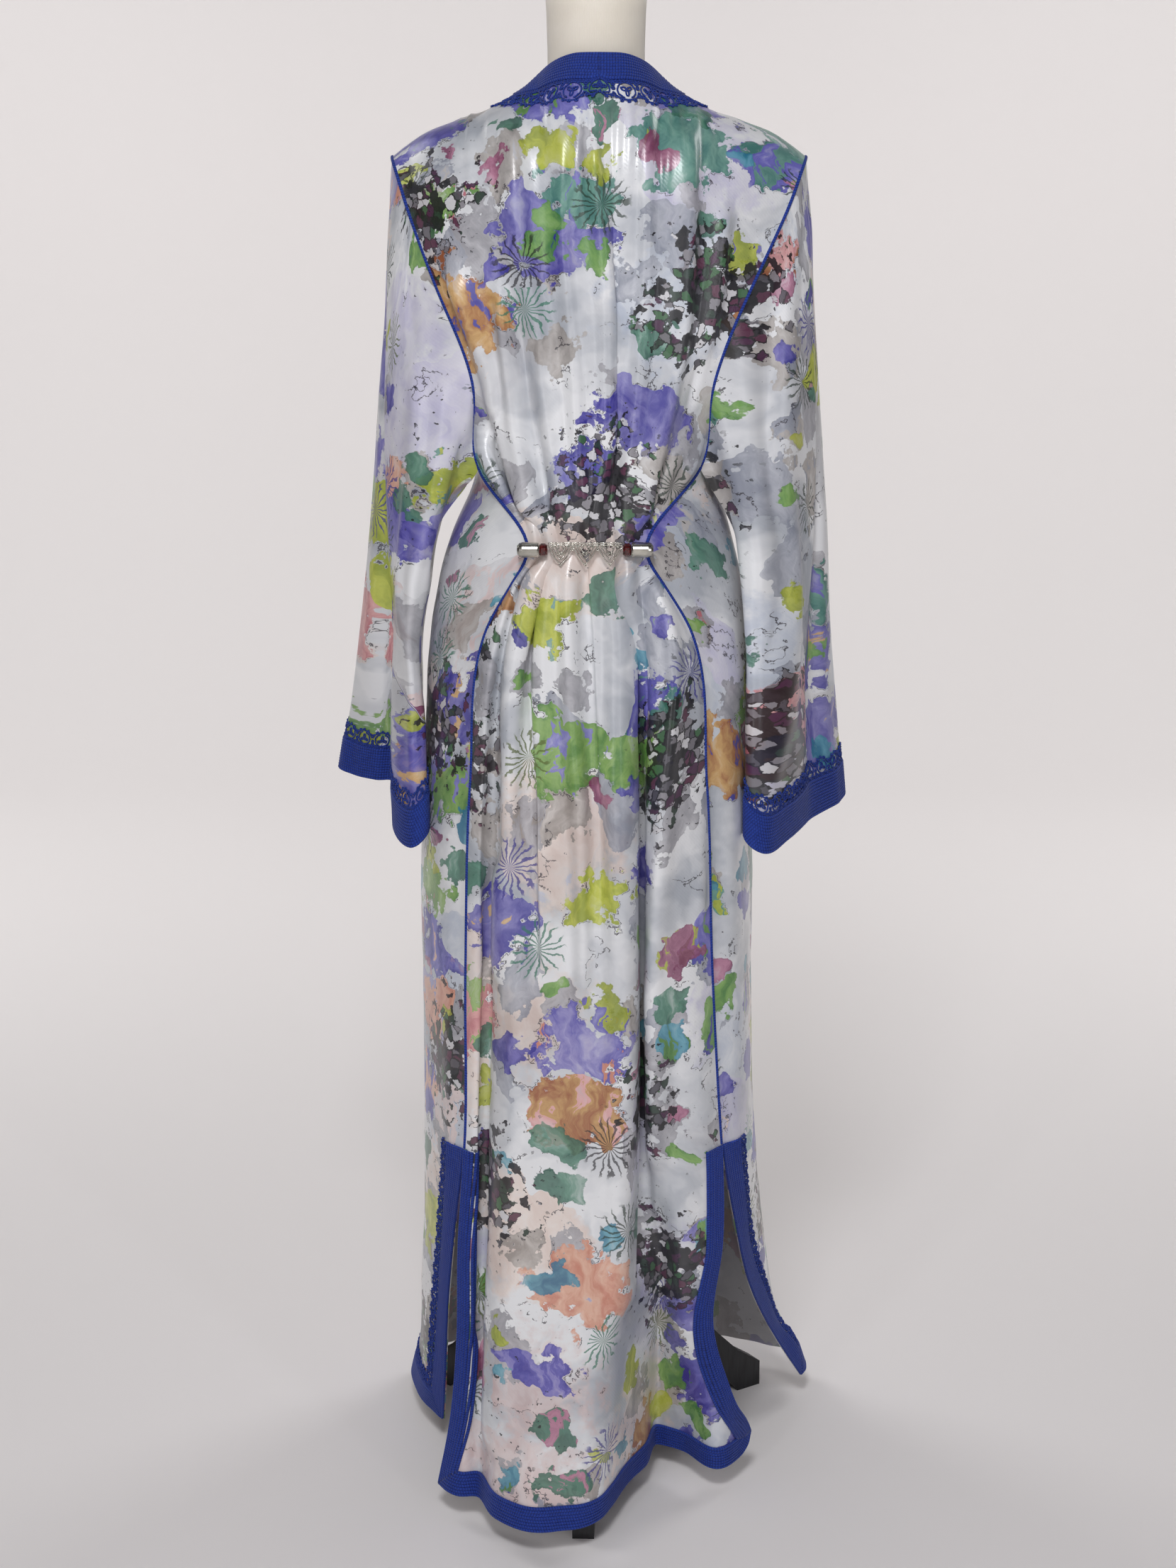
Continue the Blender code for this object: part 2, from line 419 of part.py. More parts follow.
def sleeve_grid(table, loop):
    """Rings of a sleeve from its armhole to the cuff."""
    start = with_middles(loop)
    count = len(start)
    rings = [start]
    for _, stations in table:
        wrapped = np.concatenate([stations[-3:], stations, stations[:4]])
        rings.append(spline(np.arange(-3, 16), wrapped, np.arange(count) * 12.0 / count))
    rings = np.array(rings)
    shares = [0.0] + [row[0] for row in table]
    length = np.linalg.norm(rings[-1] - rings[-2], axis=1) / (shares[-1] - shares[-2])
    rows = [spline(shares, rings, share)[0] for share in SLEEVE_ROWS]
    for width in (CUFF_BRAID_WIDTH + CUFF_LACE_WIDTH, CUFF_BRAID_WIDTH, 0.0):
        share = 1.0 - width / length
        rows.append(np.array([spline(shares, rings[:, k], share[k])[0] for k in range(count)]))
    return np.array(rows)


def grid_normals(grid, closed=False):
    """Unit normals on the side of down x across, which a caller may turn round."""
    if closed:
        across = np.roll(grid, -1, axis=1) - np.roll(grid, 1, axis=1)
    else:
        across = np.gradient(grid, axis=1)
    return unit(np.cross(np.gradient(grid, axis=0), across))


def mitre(first, second):
    """One offset for both edges of a seam, so that neither wall enters the other."""
    total = first + second
    return 2 * total / np.maximum((total**2).sum(axis=-1, keepdims=True), 1.2)


def seat_edges(grid, edges):
    """Draws edge points back into their own cloth. edges holds (rows, cols, step inward, distance)."""
    moved = grid.copy()
    count = grid.shape[1]
    for rows, cols, (down, across), distance in edges:
        for row, col in cells_between(rows, cols):
            inward = grid[row + down, (col + across) % count] - grid[row, col]
            if down:
                before, after = (col - 1, (col + 1) % count) if len(cols) == count else (col, col)
                along = grid[row, after] - grid[row, before]
            else:
                along = grid[min(row + 1, len(grid) - 1), col] - grid[max(row - 1, 0), col]
            along = unit(along)
            moved[row, col] += unit(inward - along * (inward @ along)) * distance
    return moved


def add_patch(name, grid, offsets, low, high, cells, material):
    """A solid over some cells of a grid: its two faces lie low and high above the grid."""
    corners = {}
    top = []
    for row, col in cells:
        after = (col + 1) % grid.shape[1]
        quad = [(row, col), (row, after), (row + 1, after), (row + 1, col)]
        a, b, e, d = [corners.setdefault(corner, len(corners)) for corner in quad]
        top += [(a, e, b), (a, d, e)]
    count = len(corners)
    under = np.array([grid[c] + offsets[c] * low for c in corners])
    over = np.array([grid[c] + offsets[c] * high for c in corners])
    used = {(t[i], t[(i + 1) % 3]) for t in top for i in range(3)}
    faces = [tuple(count + k for k in t) for t in top] + [t[::-1] for t in top]
    faces += [(a, b, count + b, count + a) for a, b in used if (b, a) not in used]
    return add_object(name, np.concatenate([under, over]), faces, material)


def cells_between(rows, cols):
    return [(row, col) for row in rows for col in cols]


def border_cells(grid, near, far):
    """Cells from the slit's top down that lie between two (columns, rows) lines inside the edge."""
    rows, cols = grid.shape[0] - 1, grid.shape[1] - 1
    chosen = []
    for row, col in cells_between(range(SLIT_ROW, rows), range(cols)):
        beside, above = min(col, cols - 1 - col), rows - 1 - row
        if beside >= near[0] and above >= near[1] and (beside < far[0] or above < far[1]):
            chosen.append((row, col))
    return chosen


def add_cord(name, path, offsets, material, closed=False, sides=5):
    """A piping cord that lies in a seam, between the edges of both walls."""
    out = unit(offsets)
    centres = path + out * CLOTH * PIPING_SEAT
    if closed:
        along = unit(np.roll(centres, -1, axis=0) - np.roll(centres, 1, axis=0))
    else:
        along = unit(np.gradient(centres, axis=0))
    first = unit(out - along * (out * along).sum(axis=1, keepdims=True))
    second = np.cross(along, first)
    angles = np.arange(sides) * 2 * math.pi / sides
    rings = [
        centre + PIPING_RADIUS * (np.cos(angles)[:, None] * a + np.sin(angles)[:, None] * b)
        for centre, a, b in zip(centres, first, second)
    ]
    return add_loft(name, rings, material, closed)


def add_loft(name, rings, material, closed=False, smooth=True):
    """A solid through rings of the same count, closed on itself or with flat ends."""
    sides, count = len(rings[0]), len(rings)
    faces = []
    for r in range(count if closed else count - 1):
        for s in range(sides):
            a, b = r * sides + s, r * sides + (s + 1) % sides
            d, e = [(k + sides) % (count * sides) for k in (a, b)]
            faces.append((a, b, e, d))
    if not closed:
        faces.append(tuple(range(sides))[::-1])
        faces.append(tuple(range((count - 1) * sides, count * sides)))
    return add_object(name, np.concatenate(rings), faces, material, smooth)


def add_turned(name, profile, centre, material, tilt=0.0, steps=24):
    """A solid turned from (radius, length) pairs that start and end on its axis."""
    mesh = bpy.data.meshes.new(name)
    points = [(radius, 0.0, length) for radius, length in reversed(profile)]
    mesh.from_pydata(points, [(i, i + 1) for i in range(len(points) - 1)], [])
    mesh.materials.append(material)
    obj = bpy.data.objects.new(name, mesh)
    collection.objects.link(obj)
    screw = obj.modifiers.new("turn", "SCREW")
    screw.steps = screw.render_steps = steps
    screw.use_merge_vertices = True
    screw.merge_threshold = 0.00005
    screw.use_smooth_shade = True
    obj.location = centre
    obj.rotation_euler = (0.0, tilt, 0.0)
    return obj


# Neckline trims

def neckline():
    """Even points (x, wrap) round the neckline, from the middle of the back by +X to the V and round."""
    side = np.linspace(0.0, NECK_HALF, 40)
    front = side[-2::-1]
    half = np.concatenate([
        np.column_stack([side, np.full(len(side), -NECK_START)]),
        np.column_stack([front, neckline_wrap(front)]),
    ])
    loop = np.concatenate([half, half[-2:0:-1] * (-1.0, 1.0)])
    points = shoulder_point(loop[:, 0], loop[:, 1])
    legs = np.roll(points, -1, axis=0) - points
    turns = np.arccos(np.clip((unit(legs) * unit(np.roll(legs, 1, axis=0))).sum(axis=1), -1.0, 1.0))
    lengths = np.linalg.norm(legs, axis=1) + (turns + np.roll(turns, -1)) / 2 * NECK_BRAID_WIDTH
    lengths = np.concatenate([[0.0], np.cumsum(lengths)])
    at = np.arange(NECK_STEPS) * lengths[-1] / NECK_STEPS
    closed = np.concatenate([loop, loop[:1]])
    return np.column_stack([np.interp(at, lengths, closed[:, k]) for k in (0, 1)])


def surface_slopes(place):
    """Slopes of the upper body's surface along x and along wrap at each (x, wrap)."""
    small = NECK_START / 2
    x, wrap = place[:, 0], place[:, 1]
    along_x = (shoulder_point(x + small, wrap) - shoulder_point(x - small, wrap)) / (2 * small)
    along_wrap = (shoulder_point(x, wrap + small) - shoulder_point(x, wrap - small)) / (2 * small)
    return along_x, along_wrap


def surface_normal(place):
    along_x, along_wrap = surface_slopes(place)
    return unit(np.cross(along_x, along_wrap))


def march_out(place, distance):
    """Moves (x, wrap) points over the surface, away from the neckline."""
    steps = max(1, round(distance / NECK_MARCH))
    for _ in range(steps):
        points = shoulder_point(place[:, 0], place[:, 1])
        around = unit(np.roll(points, -1, axis=0) - np.roll(points, 1, axis=0))
        outward = np.cross(around, surface_normal(place)) * distance / steps
        along_x, along_wrap = surface_slopes(place)
        place = place + np.array([
            np.linalg.lstsq(np.column_stack(pair), step, rcond=None)[0]
            for *pair, step in zip(along_x, along_wrap, outward)
        ])
    return place


def neck_grid(near, far, count):
    """Rings round the neckline, from near to far over the surface, and their normals."""
    place = march_out(neckline(), near)
    rings, normals = [], []
    for step in range(count):
        if step:
            place = march_out(place, (far - near) / (count - 1))
        rings.append(shoulder_point(place[:, 0], place[:, 1]))
        normals.append(surface_normal(place))
    return np.array(rings), np.array(normals)


def turn_ridge(panel, outward):
    """Gives the shoulder seam's points the ridge's own normal."""
    on_ridge = np.abs(panel[0, :, 0]) > NECK_HALF
    x, small = panel[0, on_ridge, 0], NECK_START
    lean = (shoulder_height(x - small) - shoulder_height(x + small)) / (2 * small)
    outward[0, on_ridge] = unit(np.column_stack([lean, np.zeros(len(lean)), np.ones(len(lean))]))


def seated_panel(grid):
    """A panel drawn back by the seam's gap from its side edges and its shoulder seam."""
    rows, cols = grid.shape[:2]
    return seat_edges(grid, (
        (range(rows), (0,), (0, 1), PIPED_GAP),
        (range(rows), (cols - 1,), (0, -1), PIPED_GAP),
        ((0,), range(cols), (1, 0), SEAM_GAP),
    ))


def add_kaftan():
    """Two panels, two sleeves, the braid and lace on them, and the piping along their seams."""
    back, front = build_panels()
    back_out, front_out = grid_normals(back), -grid_normals(front)
    turn_ridge(back, back_out)
    turn_ridge(front, front_out)
    for name, table, edge, side in (("left", LEFT_SLEEVE, 0, 1), ("right", RIGHT_SLEEVE, -1, -1)):
        grid = sleeve_grid(table, armhole_loop(back, front, edge))
        outward = side * grid_normals(grid, closed=True)
        panels_out = armhole_loop(back_out, front_out, edge)
        for row in (0, ARMHOLE_ROW):
            panels_out[row] = unit(back_out[row, edge] + front_out[row, edge])
        shared = mitre(panels_out, outward[0, ::2])
        outward[0] = with_middles(shared)
        back_out[: ARMHOLE_ROW + 1, edge] = shared[: ARMHOLE_ROW + 1]
        front_out[1 : ARMHOLE_ROW + 1, edge] = shared[: ARMHOLE_ROW - 1 : -1]
        front_out[0, edge] = shared[0]
        add_cord("armhole_piping_" + name, grid[0, ::2], shared, BRAID_MATERIAL, closed=True)
        seated = seat_edges(grid, (((0,), range(grid.shape[1]), (1, 0), PIPED_GAP),))
        around = range(grid.shape[1])
        rows = grid.shape[0] - 1
        add_patch("sleeve_" + name, seated, outward, 0.0, CLOTH, cells_between(range(rows), around), SATIN)
        for trim, first, step, thickness in (("braid", rows - 1, 1, BRAID), ("lace", rows - 2, -1, LACE)):
            apart = seat_edges(seated, (((rows - 1,), around, (step, 0), SEAM_GAP),))
            add_patch(f"cuff_{trim}_{name}", apart, outward, CLOTH + LIFT, CLOTH + LIFT + thickness,
                      cells_between((first,), around), BRAID_MATERIAL)
    seam = range(ARMHOLE_ROW + 1, SLIT_ROW + 1)
    for name, edge in (("left", 0), ("right", -1)):
        shared = mitre(back_out[seam, edge], front_out[seam, edge])
        back_out[seam, edge] = front_out[seam, edge] = shared
        path = back[ARMHOLE_ROW : SLIT_ROW + 1, edge].copy()
        path[0] += (path[1] - path[0]) * PIPING_STARTS
        path[-1] += (path[-2] - path[-1]) * PIPING_ENDS
        add_cord("side_piping_" + name, path, np.concatenate([shared[:1], shared]), BRAID_MATERIAL)
    for name, grid, outward, trims in (
        ("back", back, back_out, (("braid", (0, 0), (2, 1), BRAID),)),
        ("front", front, front_out, (("braid", (0, 0), (1, 1), BRAID), ("lace", (1, 1), (2, 2), LACE))),
    ):
        seated = seated_panel(grid)
        rows, cols = grid.shape[0] - 1, grid.shape[1] - 1
        add_patch(name + "_panel", seated, outward, 0.0, CLOTH, cells_between(range(rows), range(cols)), SATIN)
        for trim, near, far, thickness in trims:
            step = 1 if near == (0, 0) else -1
            apart = seat_edges(seated, (
                (range(SLIT_ROW, rows), (1,), (0, -step), SEAM_GAP),
                (range(SLIT_ROW, rows), (cols - 1,), (0, step), SEAM_GAP),
                ((rows - 1,), range(1, cols), (step, 0), SEAM_GAP),
            )) if name == "front" else seated
            add_patch(f"{name}_edge_{trim}", apart, outward, CLOTH + LIFT, CLOTH + LIFT + thickness,
                      border_cells(grid, near, far), BRAID_MATERIAL)
    for name, near, far, thickness in (
        ("neck_braid", NECK_EDGE, NECK_BRAID_WIDTH, BRAID),
        ("neck_lace", NECK_BRAID_WIDTH + SEAM_GAP * 2, NECK_BRAID_WIDTH + NECK_LACE_WIDTH, LACE),
    ):
        grid, outward = neck_grid(near, far, 3)
        add_patch(name, grid, outward, CLOTH + NECK_LIFT, CLOTH + NECK_LIFT + thickness,
                  cells_between(range(2), range(NECK_STEPS)), BRAID_MATERIAL)


def form_ring(height, half_width, back_depth, front_depth, squareness):
    angles = np.arange(FORM_SIDES) * 2 * math.pi / FORM_SIDES
    along, across = np.cos(angles), np.sin(angles)
    power = 2.0 / squareness
    x = FORM_MIDDLE + half_width * np.sign(along) * np.abs(along) ** power
    y = np.where(across > 0, front_depth, back_depth) * np.sign(across) * np.abs(across) ** power
    return np.column_stack([x, y, np.full(FORM_SIDES, height)])


def add_form():
    """The torso with its neck, a cap on the neck and a plate under the hips."""
    fabric = materials["form_fabric"]
    add_loft("form_torso", [form_ring(*row) for row in FORM_SECTIONS], fabric)
    top = FORM_SECTIONS[-1]
    add_loft("form_neck_cap", [
        form_ring(top[0] + GAP, *top[1:]),
        form_ring(top[0] + GAP + CAP_HEIGHT * 0.7, *top[1:]),
        form_ring(top[0] + GAP + CAP_HEIGHT, *(size - 0.006 for size in top[1:4]), top[4]),
    ], WOOD)
    low = FORM_SECTIONS[0]
    add_loft("form_base", [
        form_ring(low[0] - GAP - FORM_BASE, *(size - 0.004 for size in low[1:4]), low[4]),
        form_ring(low[0] - GAP, *low[1:]),
    ], WOOD)


def add_stand():
    """A pole and a hub with three legs that stand on flat feet."""
    x, y = POLE_AT
    add_turned("stand_hub", HUB_PROFILE, (x, y, 0.0), WOOD)
    bottom, top = HUB_PROFILE[-1][1] + GAP, FORM_SECTIONS[0][0] - 2 * GAP - FORM_BASE
    pole = ((0.0, bottom), (POLE_RADIUS, bottom), (POLE_RADIUS, top), (0.0, top))
    add_turned("stand_pole", pole, (x, y, 0.0), WOOD)
    for name, degrees in LEG_ANGLES:
        angle = math.radians(degrees)
        along = np.array([math.cos(angle), math.sin(angle)])
        side = np.array([-along[1], along[0]]) * LEG_HALF_WIDTH
        rings = []
        for distance, low, high in LEG_OUTLINE:
            middle = np.array(POLE_AT) + along * distance
            rings.append(np.array([(*(middle + side), low), (*(middle - side), low),
                                   (*(middle - side), high), (*(middle + side), high)]))
        add_loft("stand_leg_" + name, rings, WOOD, smooth=False)


def add_clip():
    """Two clamps on the pinched side seams, with stone collars and a scalloped bar between them."""
    for name, end, side in (("left", LEFT_CLAMP_END, 1), ("right", RIGHT_CLAMP_END, -1)):
        tilt = side * math.pi / 2
        add_turned("clip_clamp_" + name, CLAMP_PROFILE, (end, CLIP_Y, CLIP_HEIGHT), SILVER, tilt)
        start = end + side * (CLAMP_PROFILE[-1][1] + GAP)
        add_turned("clip_collar_" + name, COLLAR_PROFILE, (start, CLIP_Y, CLIP_HEIGHT),
                   materials["red_stone"], tilt, steps=16)
    inset = CLAMP_PROFILE[-1][1] + COLLAR_PROFILE[-1][1] + 2 * GAP
    along = np.linspace(LEFT_CLAMP_END + inset, RIGHT_CLAMP_END - inset, BAR_STEPS + 1)
    share = np.linspace(0.0, 1.0, BAR_STEPS + 1)
    wave = np.abs(np.sin(share * BAR_SCALLOPS * math.pi))
    half = BAR_HALF_HEIGHT * (0.62 + 0.38 * wave)
    rings = []
    for x, up in zip(along, half):
        rings.append(np.array([(x, CLIP_Y + dy, CLIP_HEIGHT + dz) for dy, dz in (
            (-BAR_THICKNESS / 2, -up), (BAR_THICKNESS / 2, -up),
            (BAR_THICKNESS / 2, up * 0.8), (-BAR_THICKNESS / 2, up * 0.8))]))
    add_loft("clip_bar", rings, SILVER, smooth=False)


ARMHOLE_ROW = len(YOKE_ROWS) + len(BACK_ARMHOLE_HEIGHTS)
SLIT_ROW = ARMHOLE_ROW + BODY_HEIGHTS.index(SLIT_TOP)

collection = clear_scene()
materials = {name: make_material(name) for name in MATERIALS}
SATIN, BRAID_MATERIAL = materials["printed_satin"], materials["blue_braid"]
WOOD, SILVER = materials["black_wood"], materials["silver"]

add_kaftan()
add_form()
add_stand()
add_clip()
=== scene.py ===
# A Moroccan kaftan of printed satin with a waist clip, seen from the back, on a dress form with its stand.
# Metres, +Z up. The back of the kaftan faces -Y.
import math

import bmesh
import bpy
import numpy as np
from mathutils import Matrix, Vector
from mathutils.bvhtree import BVHTree


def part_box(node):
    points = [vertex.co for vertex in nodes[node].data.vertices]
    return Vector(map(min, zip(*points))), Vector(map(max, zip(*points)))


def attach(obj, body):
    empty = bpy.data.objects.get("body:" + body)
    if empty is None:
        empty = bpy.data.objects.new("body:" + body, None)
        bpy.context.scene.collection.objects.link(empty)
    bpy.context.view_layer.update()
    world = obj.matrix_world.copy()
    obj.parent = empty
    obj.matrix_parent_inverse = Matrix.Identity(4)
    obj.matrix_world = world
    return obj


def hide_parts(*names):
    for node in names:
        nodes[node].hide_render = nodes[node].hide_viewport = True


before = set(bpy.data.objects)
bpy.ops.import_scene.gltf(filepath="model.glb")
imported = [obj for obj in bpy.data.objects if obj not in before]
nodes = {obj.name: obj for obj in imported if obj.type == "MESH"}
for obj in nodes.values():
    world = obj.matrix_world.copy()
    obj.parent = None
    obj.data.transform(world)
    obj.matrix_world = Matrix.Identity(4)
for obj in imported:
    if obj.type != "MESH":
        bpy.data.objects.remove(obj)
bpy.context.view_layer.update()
print("frame loaded:", len(nodes), "nodes")

# The cut, as in the solids: a height, then (x, y) of the fold stations from the left edge to the right

backSections = (
    (1.36, ((-.188, -.05), (-.16, -.083), (-.133, -.102), (-.095, -.115), (-.058, -.118),
            (-.042, -.121), (-.027, -.123), (-.008, -.124), (.006, -.123), (.013, -.12),
            (.02, -.121), (.043, -.119), (.081, -.11), (.126, -.085), (.186, -.048))),
    (1.3, ((-.164, -.078), (-.141, -.1), (-.121, -.109), (-.091, -.117), (-.057, -.118),
            (-.041, -.122), (-.026, -.124), (-.008, -.125), (.006, -.124), (.013, -.119),
            (.02, -.121), (.04, -.121), (.071, -.116), (.106, -.104), (.154, -.083))),
    (1.2, ((-.125, -.088), (-.108, -.098), (-.095, -.104), (-.076, -.112), (-.057, -.113),
            (-.039, -.119), (-.023, -.122), (-.006, -.122), (.007, -.121), (.013, -.115),
            (.019, -.118), (.035, -.119), (.055, -.114), (.08, -.104), (.114, -.088))),
    (1.11, ((-.12, -.06), (-.106, -.086), (-.094, -.089), (-.076, -.106), (-.057, -.11),
            (-.04, -.12), (-.022, -.123), (-.006, -.121), (.007, -.121), (.013, -.113),
            (.019, -.115), (.034, -.118), (.055, -.11), (.08, -.09), (.101, -.06))),
    (1.038, ((-.07, -.126), (-.062, -.128), (-.056, -.124), (-.049, -.13), (-.041, -.127),
             (-.031, -.131), (-.021, -.132), (-.011, -.126), (-.001, -.131), (.007, -.129),
             (.014, -.124), (.021, -.13), (.029, -.13), (.038, -.127), (.046, -.126))),
    (1, ((-.091, -.115), (-.083, -.127), (-.075, -.12), (-.065, -.134), (-.055, -.127),
            (-.042, -.135), (-.025, -.137), (-.009, -.128), (.005, -.135), (.014, -.132),
            (.021, -.121), (.029, -.134), (.042, -.135), (.056, -.128), (.069, -.115))),
    (.95, ((-.113, -.113), (-.101, -.128), (-.09, -.119), (-.077, -.138), (-.065, -.127),
            (-.047, -.14), (-.026, -.143), (-.006, -.131), (.01, -.14), (.019, -.136),
            (.028, -.12), (.038, -.138), (.056, -.14), (.075, -.13), (.092, -.114))),
    (.8, ((-.129, -.112), (-.117, -.125), (-.105, -.115), (-.087, -.147), (-.06, -.14),
            (-.039, -.151), (-.018, -.154), (.001, -.146), (.018, -.152), (.028, -.127),
            (.037, -.122), (.042, -.139), (.063, -.144), (.087, -.134), (.108, -.112))),
    (.6, ((-.136, -.116), (-.121, -.128), (-.106, -.118), (-.084, -.157), (-.06, -.155),
            (-.038, -.163), (-.018, -.167), (.003, -.165), (.021, -.16), (.029, -.127),
            (.044, -.118), (.05, -.138), (.07, -.143), (.094, -.134), (.116, -.112))),
    (.41, ((-.139, -.122), (-.126, -.133), (-.112, -.123), (-.092, -.168), (-.063, -.172),
            (-.038, -.179), (-.016, -.183), (.004, -.181), (.02, -.173), (.028, -.134),
            (.051, -.116), (.058, -.137), (.08, -.141), (.106, -.13), (.128, -.11))),
    (.3, ((-.146, -.126), (-.131, -.139), (-.116, -.13), (-.096, -.178), (-.066, -.188),
            (-.04, -.195), (-.014, -.198), (.004, -.193), (.018, -.183), (.028, -.146),
            (.052, -.116), (.066, -.112), (.085, -.132), (.112, -.122), (.13, -.104))),
    (.2, ((-.148, -.13), (-.134, -.144), (-.119, -.136), (-.099, -.186), (-.07, -.203),
            (-.041, -.209), (-.015, -.211), (.001, -.204), (.014, -.186), (.03, -.152),
            (.05, -.108), (.066, -.078), (.088, -.112), (.108, -.113), (.121, -.1))),
    (.1, ((-.157, -.132), (-.141, -.15), (-.122, -.147), (-.103, -.194), (-.074, -.216),
            (-.044, -.221), (-.018, -.22), (0, -.207), (.013, -.184), (.032, -.144),
            (.05, -.098), (.064, -.056), (.094, -.08), (.126, -.105), (.148, -.088))),
    (.03, ((-.17, -.13), (-.15, -.156), (-.125, -.16), (-.106, -.198), (-.076, -.222),
            (-.046, -.229), (-.021, -.225), (-.003, -.204), (.011, -.174), (.03, -.134),
            (.05, -.094), (.062, -.042), (.096, -.06), (.13, -.096), (.166, -.056))),
)
backTop = (-.205, -.165, -.122, -.082, -.058, -.036, -.018, -.002, .009, .015,
            .022, .058, .08, .122, .205)
frontSections = (
    (1.2, ((-.138, .07), (-.133, .08), (-.125, .09), (-.105, .112), (-.075, .13),
            (-.038, .136), (0, .131), (.038, .136), (.074, .13), (.103, .112),
            (.121, .09), (.128, .08), (.132, .07))),
    (1.15, ((-.129, .028), (-.129, .05), (-.124, .068), (-.107, .096), (-.078, .122),
            (-.038, .131), (0, .126), (.038, .131), (.075, .122), (.103, .096),
            (.12, .068), (.126, .05), (.127, .028))),
    (1.11, ((-.12, -.06), (-.121, -.018), (-.123, .03), (-.11, .077), (-.077, .11),
            (-.037, .123), (0, .12), (.037, .123), (.074, .11), (.105, .077),
            (.118, .03), (.113, -.018), (.101, -.06))),
    (1.038, ((-.07, -.126), (-.116, -.094), (-.146, -.032), (-.145, .032), (-.114, .088),
             (-.06, .125), (0, .123), (.06, .125), (.109, .088), (.133, .032),
             (.132, -.034), (.1, -.092), (.046, -.126))),
    (.95, ((-.113, -.113), (-.148, -.078), (-.168, -.02), (-.166, .045), (-.13, .105),
            (-.068, .14), (0, .136), (.066, .14), (.122, .105), (.151, .045),
            (.15, -.022), (.131, -.078), (.092, -.114))),
    (.8, ((-.129, -.112), (-.159, -.073), (-.176, -.01), (-.172, .06), (-.135, .12),
            (-.07, .155), (0, .15), (.07, .155), (.13, .12), (.162, .06),
            (.163, -.01), (.143, -.073), (.108, -.112))),
    (.6, ((-.136, -.116), (-.169, -.07), (-.187, 0), (-.18, .075), (-.14, .135),
            (-.075, .172), (0, .166), (.072, .172), (.136, .135), (.166, .075),
            (.167, 0), (.15, -.074), (.116, -.112))),
    (.41, ((-.139, -.122), (-.173, -.07), (-.192, .005), (-.186, .085), (-.148, .148),
            (-.08, .188), (0, .18), (.078, .188), (.144, .148), (.171, .085),
            (.172, .005), (.157, -.065), (.128, -.11))),
    (.3, ((-.152, -.086), (-.178, -.045), (-.195, .022), (-.19, .097), (-.156, .162),
            (-.086, .199), (0, .19), (.084, .199), (.152, .162), (.177, .105),
            (.18, .04), (.168, -.016), (.146, -.06))),
    (.2, ((-.162, -.048), (-.184, -.01), (-.199, .048), (-.196, .114), (-.164, .176),
            (-.092, .21), (0, .2), (.09, .21), (.16, .176), (.188, .128),
            (.19, .075), (.181, .032), (.167, 0))),
    (.1, ((-.168, -.014), (-.189, .016), (-.203, .064), (-.205, .128), (-.176, .19),
            (-.098, .22), (0, .208), (.096, .22), (.168, .196), (.204, .164),
            (.214, .132), (.211, .1), (.203, .075))),
    (.03, ((-.173, .014), (-.191, .036), (-.208, .078), (-.218, .142), (-.194, .204),
            (-.106, .228), (0, .214), (.102, .228), (.176, .212), (.218, .19),
            (.243, .166), (.247, .143), (.237, .12))),
)
frontTop = (-.205, -.122, -.08, -.058, -.04, -.02, 0, .02, .04, .058,
             .08, .122, .205)
shoulderRidge = ((0, 1.507), (.03, 1.5045), (.045, 1.498), (.058, 1.488), (.07, 1.4775),
                  (.09, 1.4655), (.122, 1.452), (.15, 1.443), (.172, 1.4345), (.19, 1.423), (.205, 1.4118))
leftSleeveRings = (
    (.25, ((-.217, .005, 1.25), (-.213, -.02, 1.23), (-.206, -.04, 1.2), (-.195, -.062, 1.16),
            (-.179, -.073, 1.11), (-.162, -.068, 1.06), (-.157, -.044, 1.03), (-.16, .008, 1.03),
            (-.165, .05, 1.06), (-.178, .08, 1.11), (-.196, .08, 1.16), (-.211, .045, 1.21))),
    (.5, ((-.233, .03, 1.09), (-.228, .008, 1.08), (-.217, -.004, 1.06), (-.206, -.02, 1.03),
            (-.202, -.044, 1), (-.192, -.06, .97), (-.182, -.045, .94), (-.183, .008, .93),
            (-.184, .055, .94), (-.196, .092, .98), (-.212, .105, 1.03), (-.227, .075, 1.07))),
    (.75, ((-.254, .072, .92), (-.245, .05, .92), (-.228, .036, .91), (-.211, .028, .9),
            (-.206, -.026, .88), (-.193, -.06, .86), (-.177, -.052, .84), (-.187, .008, .84),
            (-.187, .07, .84), (-.2, .115, .86), (-.225, .135, .89), (-.248, .11, .91))),
    (1, ((-.283, .12, .761), (-.266, .104, .757), (-.243, .09, .755), (-.219, .08, .752),
            (-.211, -.022, .727), (-.193, -.063, .718), (-.178, -.054, .735), (-.19, .01, .745),
            (-.189, .08, .748), (-.206, .136, .752), (-.239, .165, .757), (-.272, .152, .76))),
)
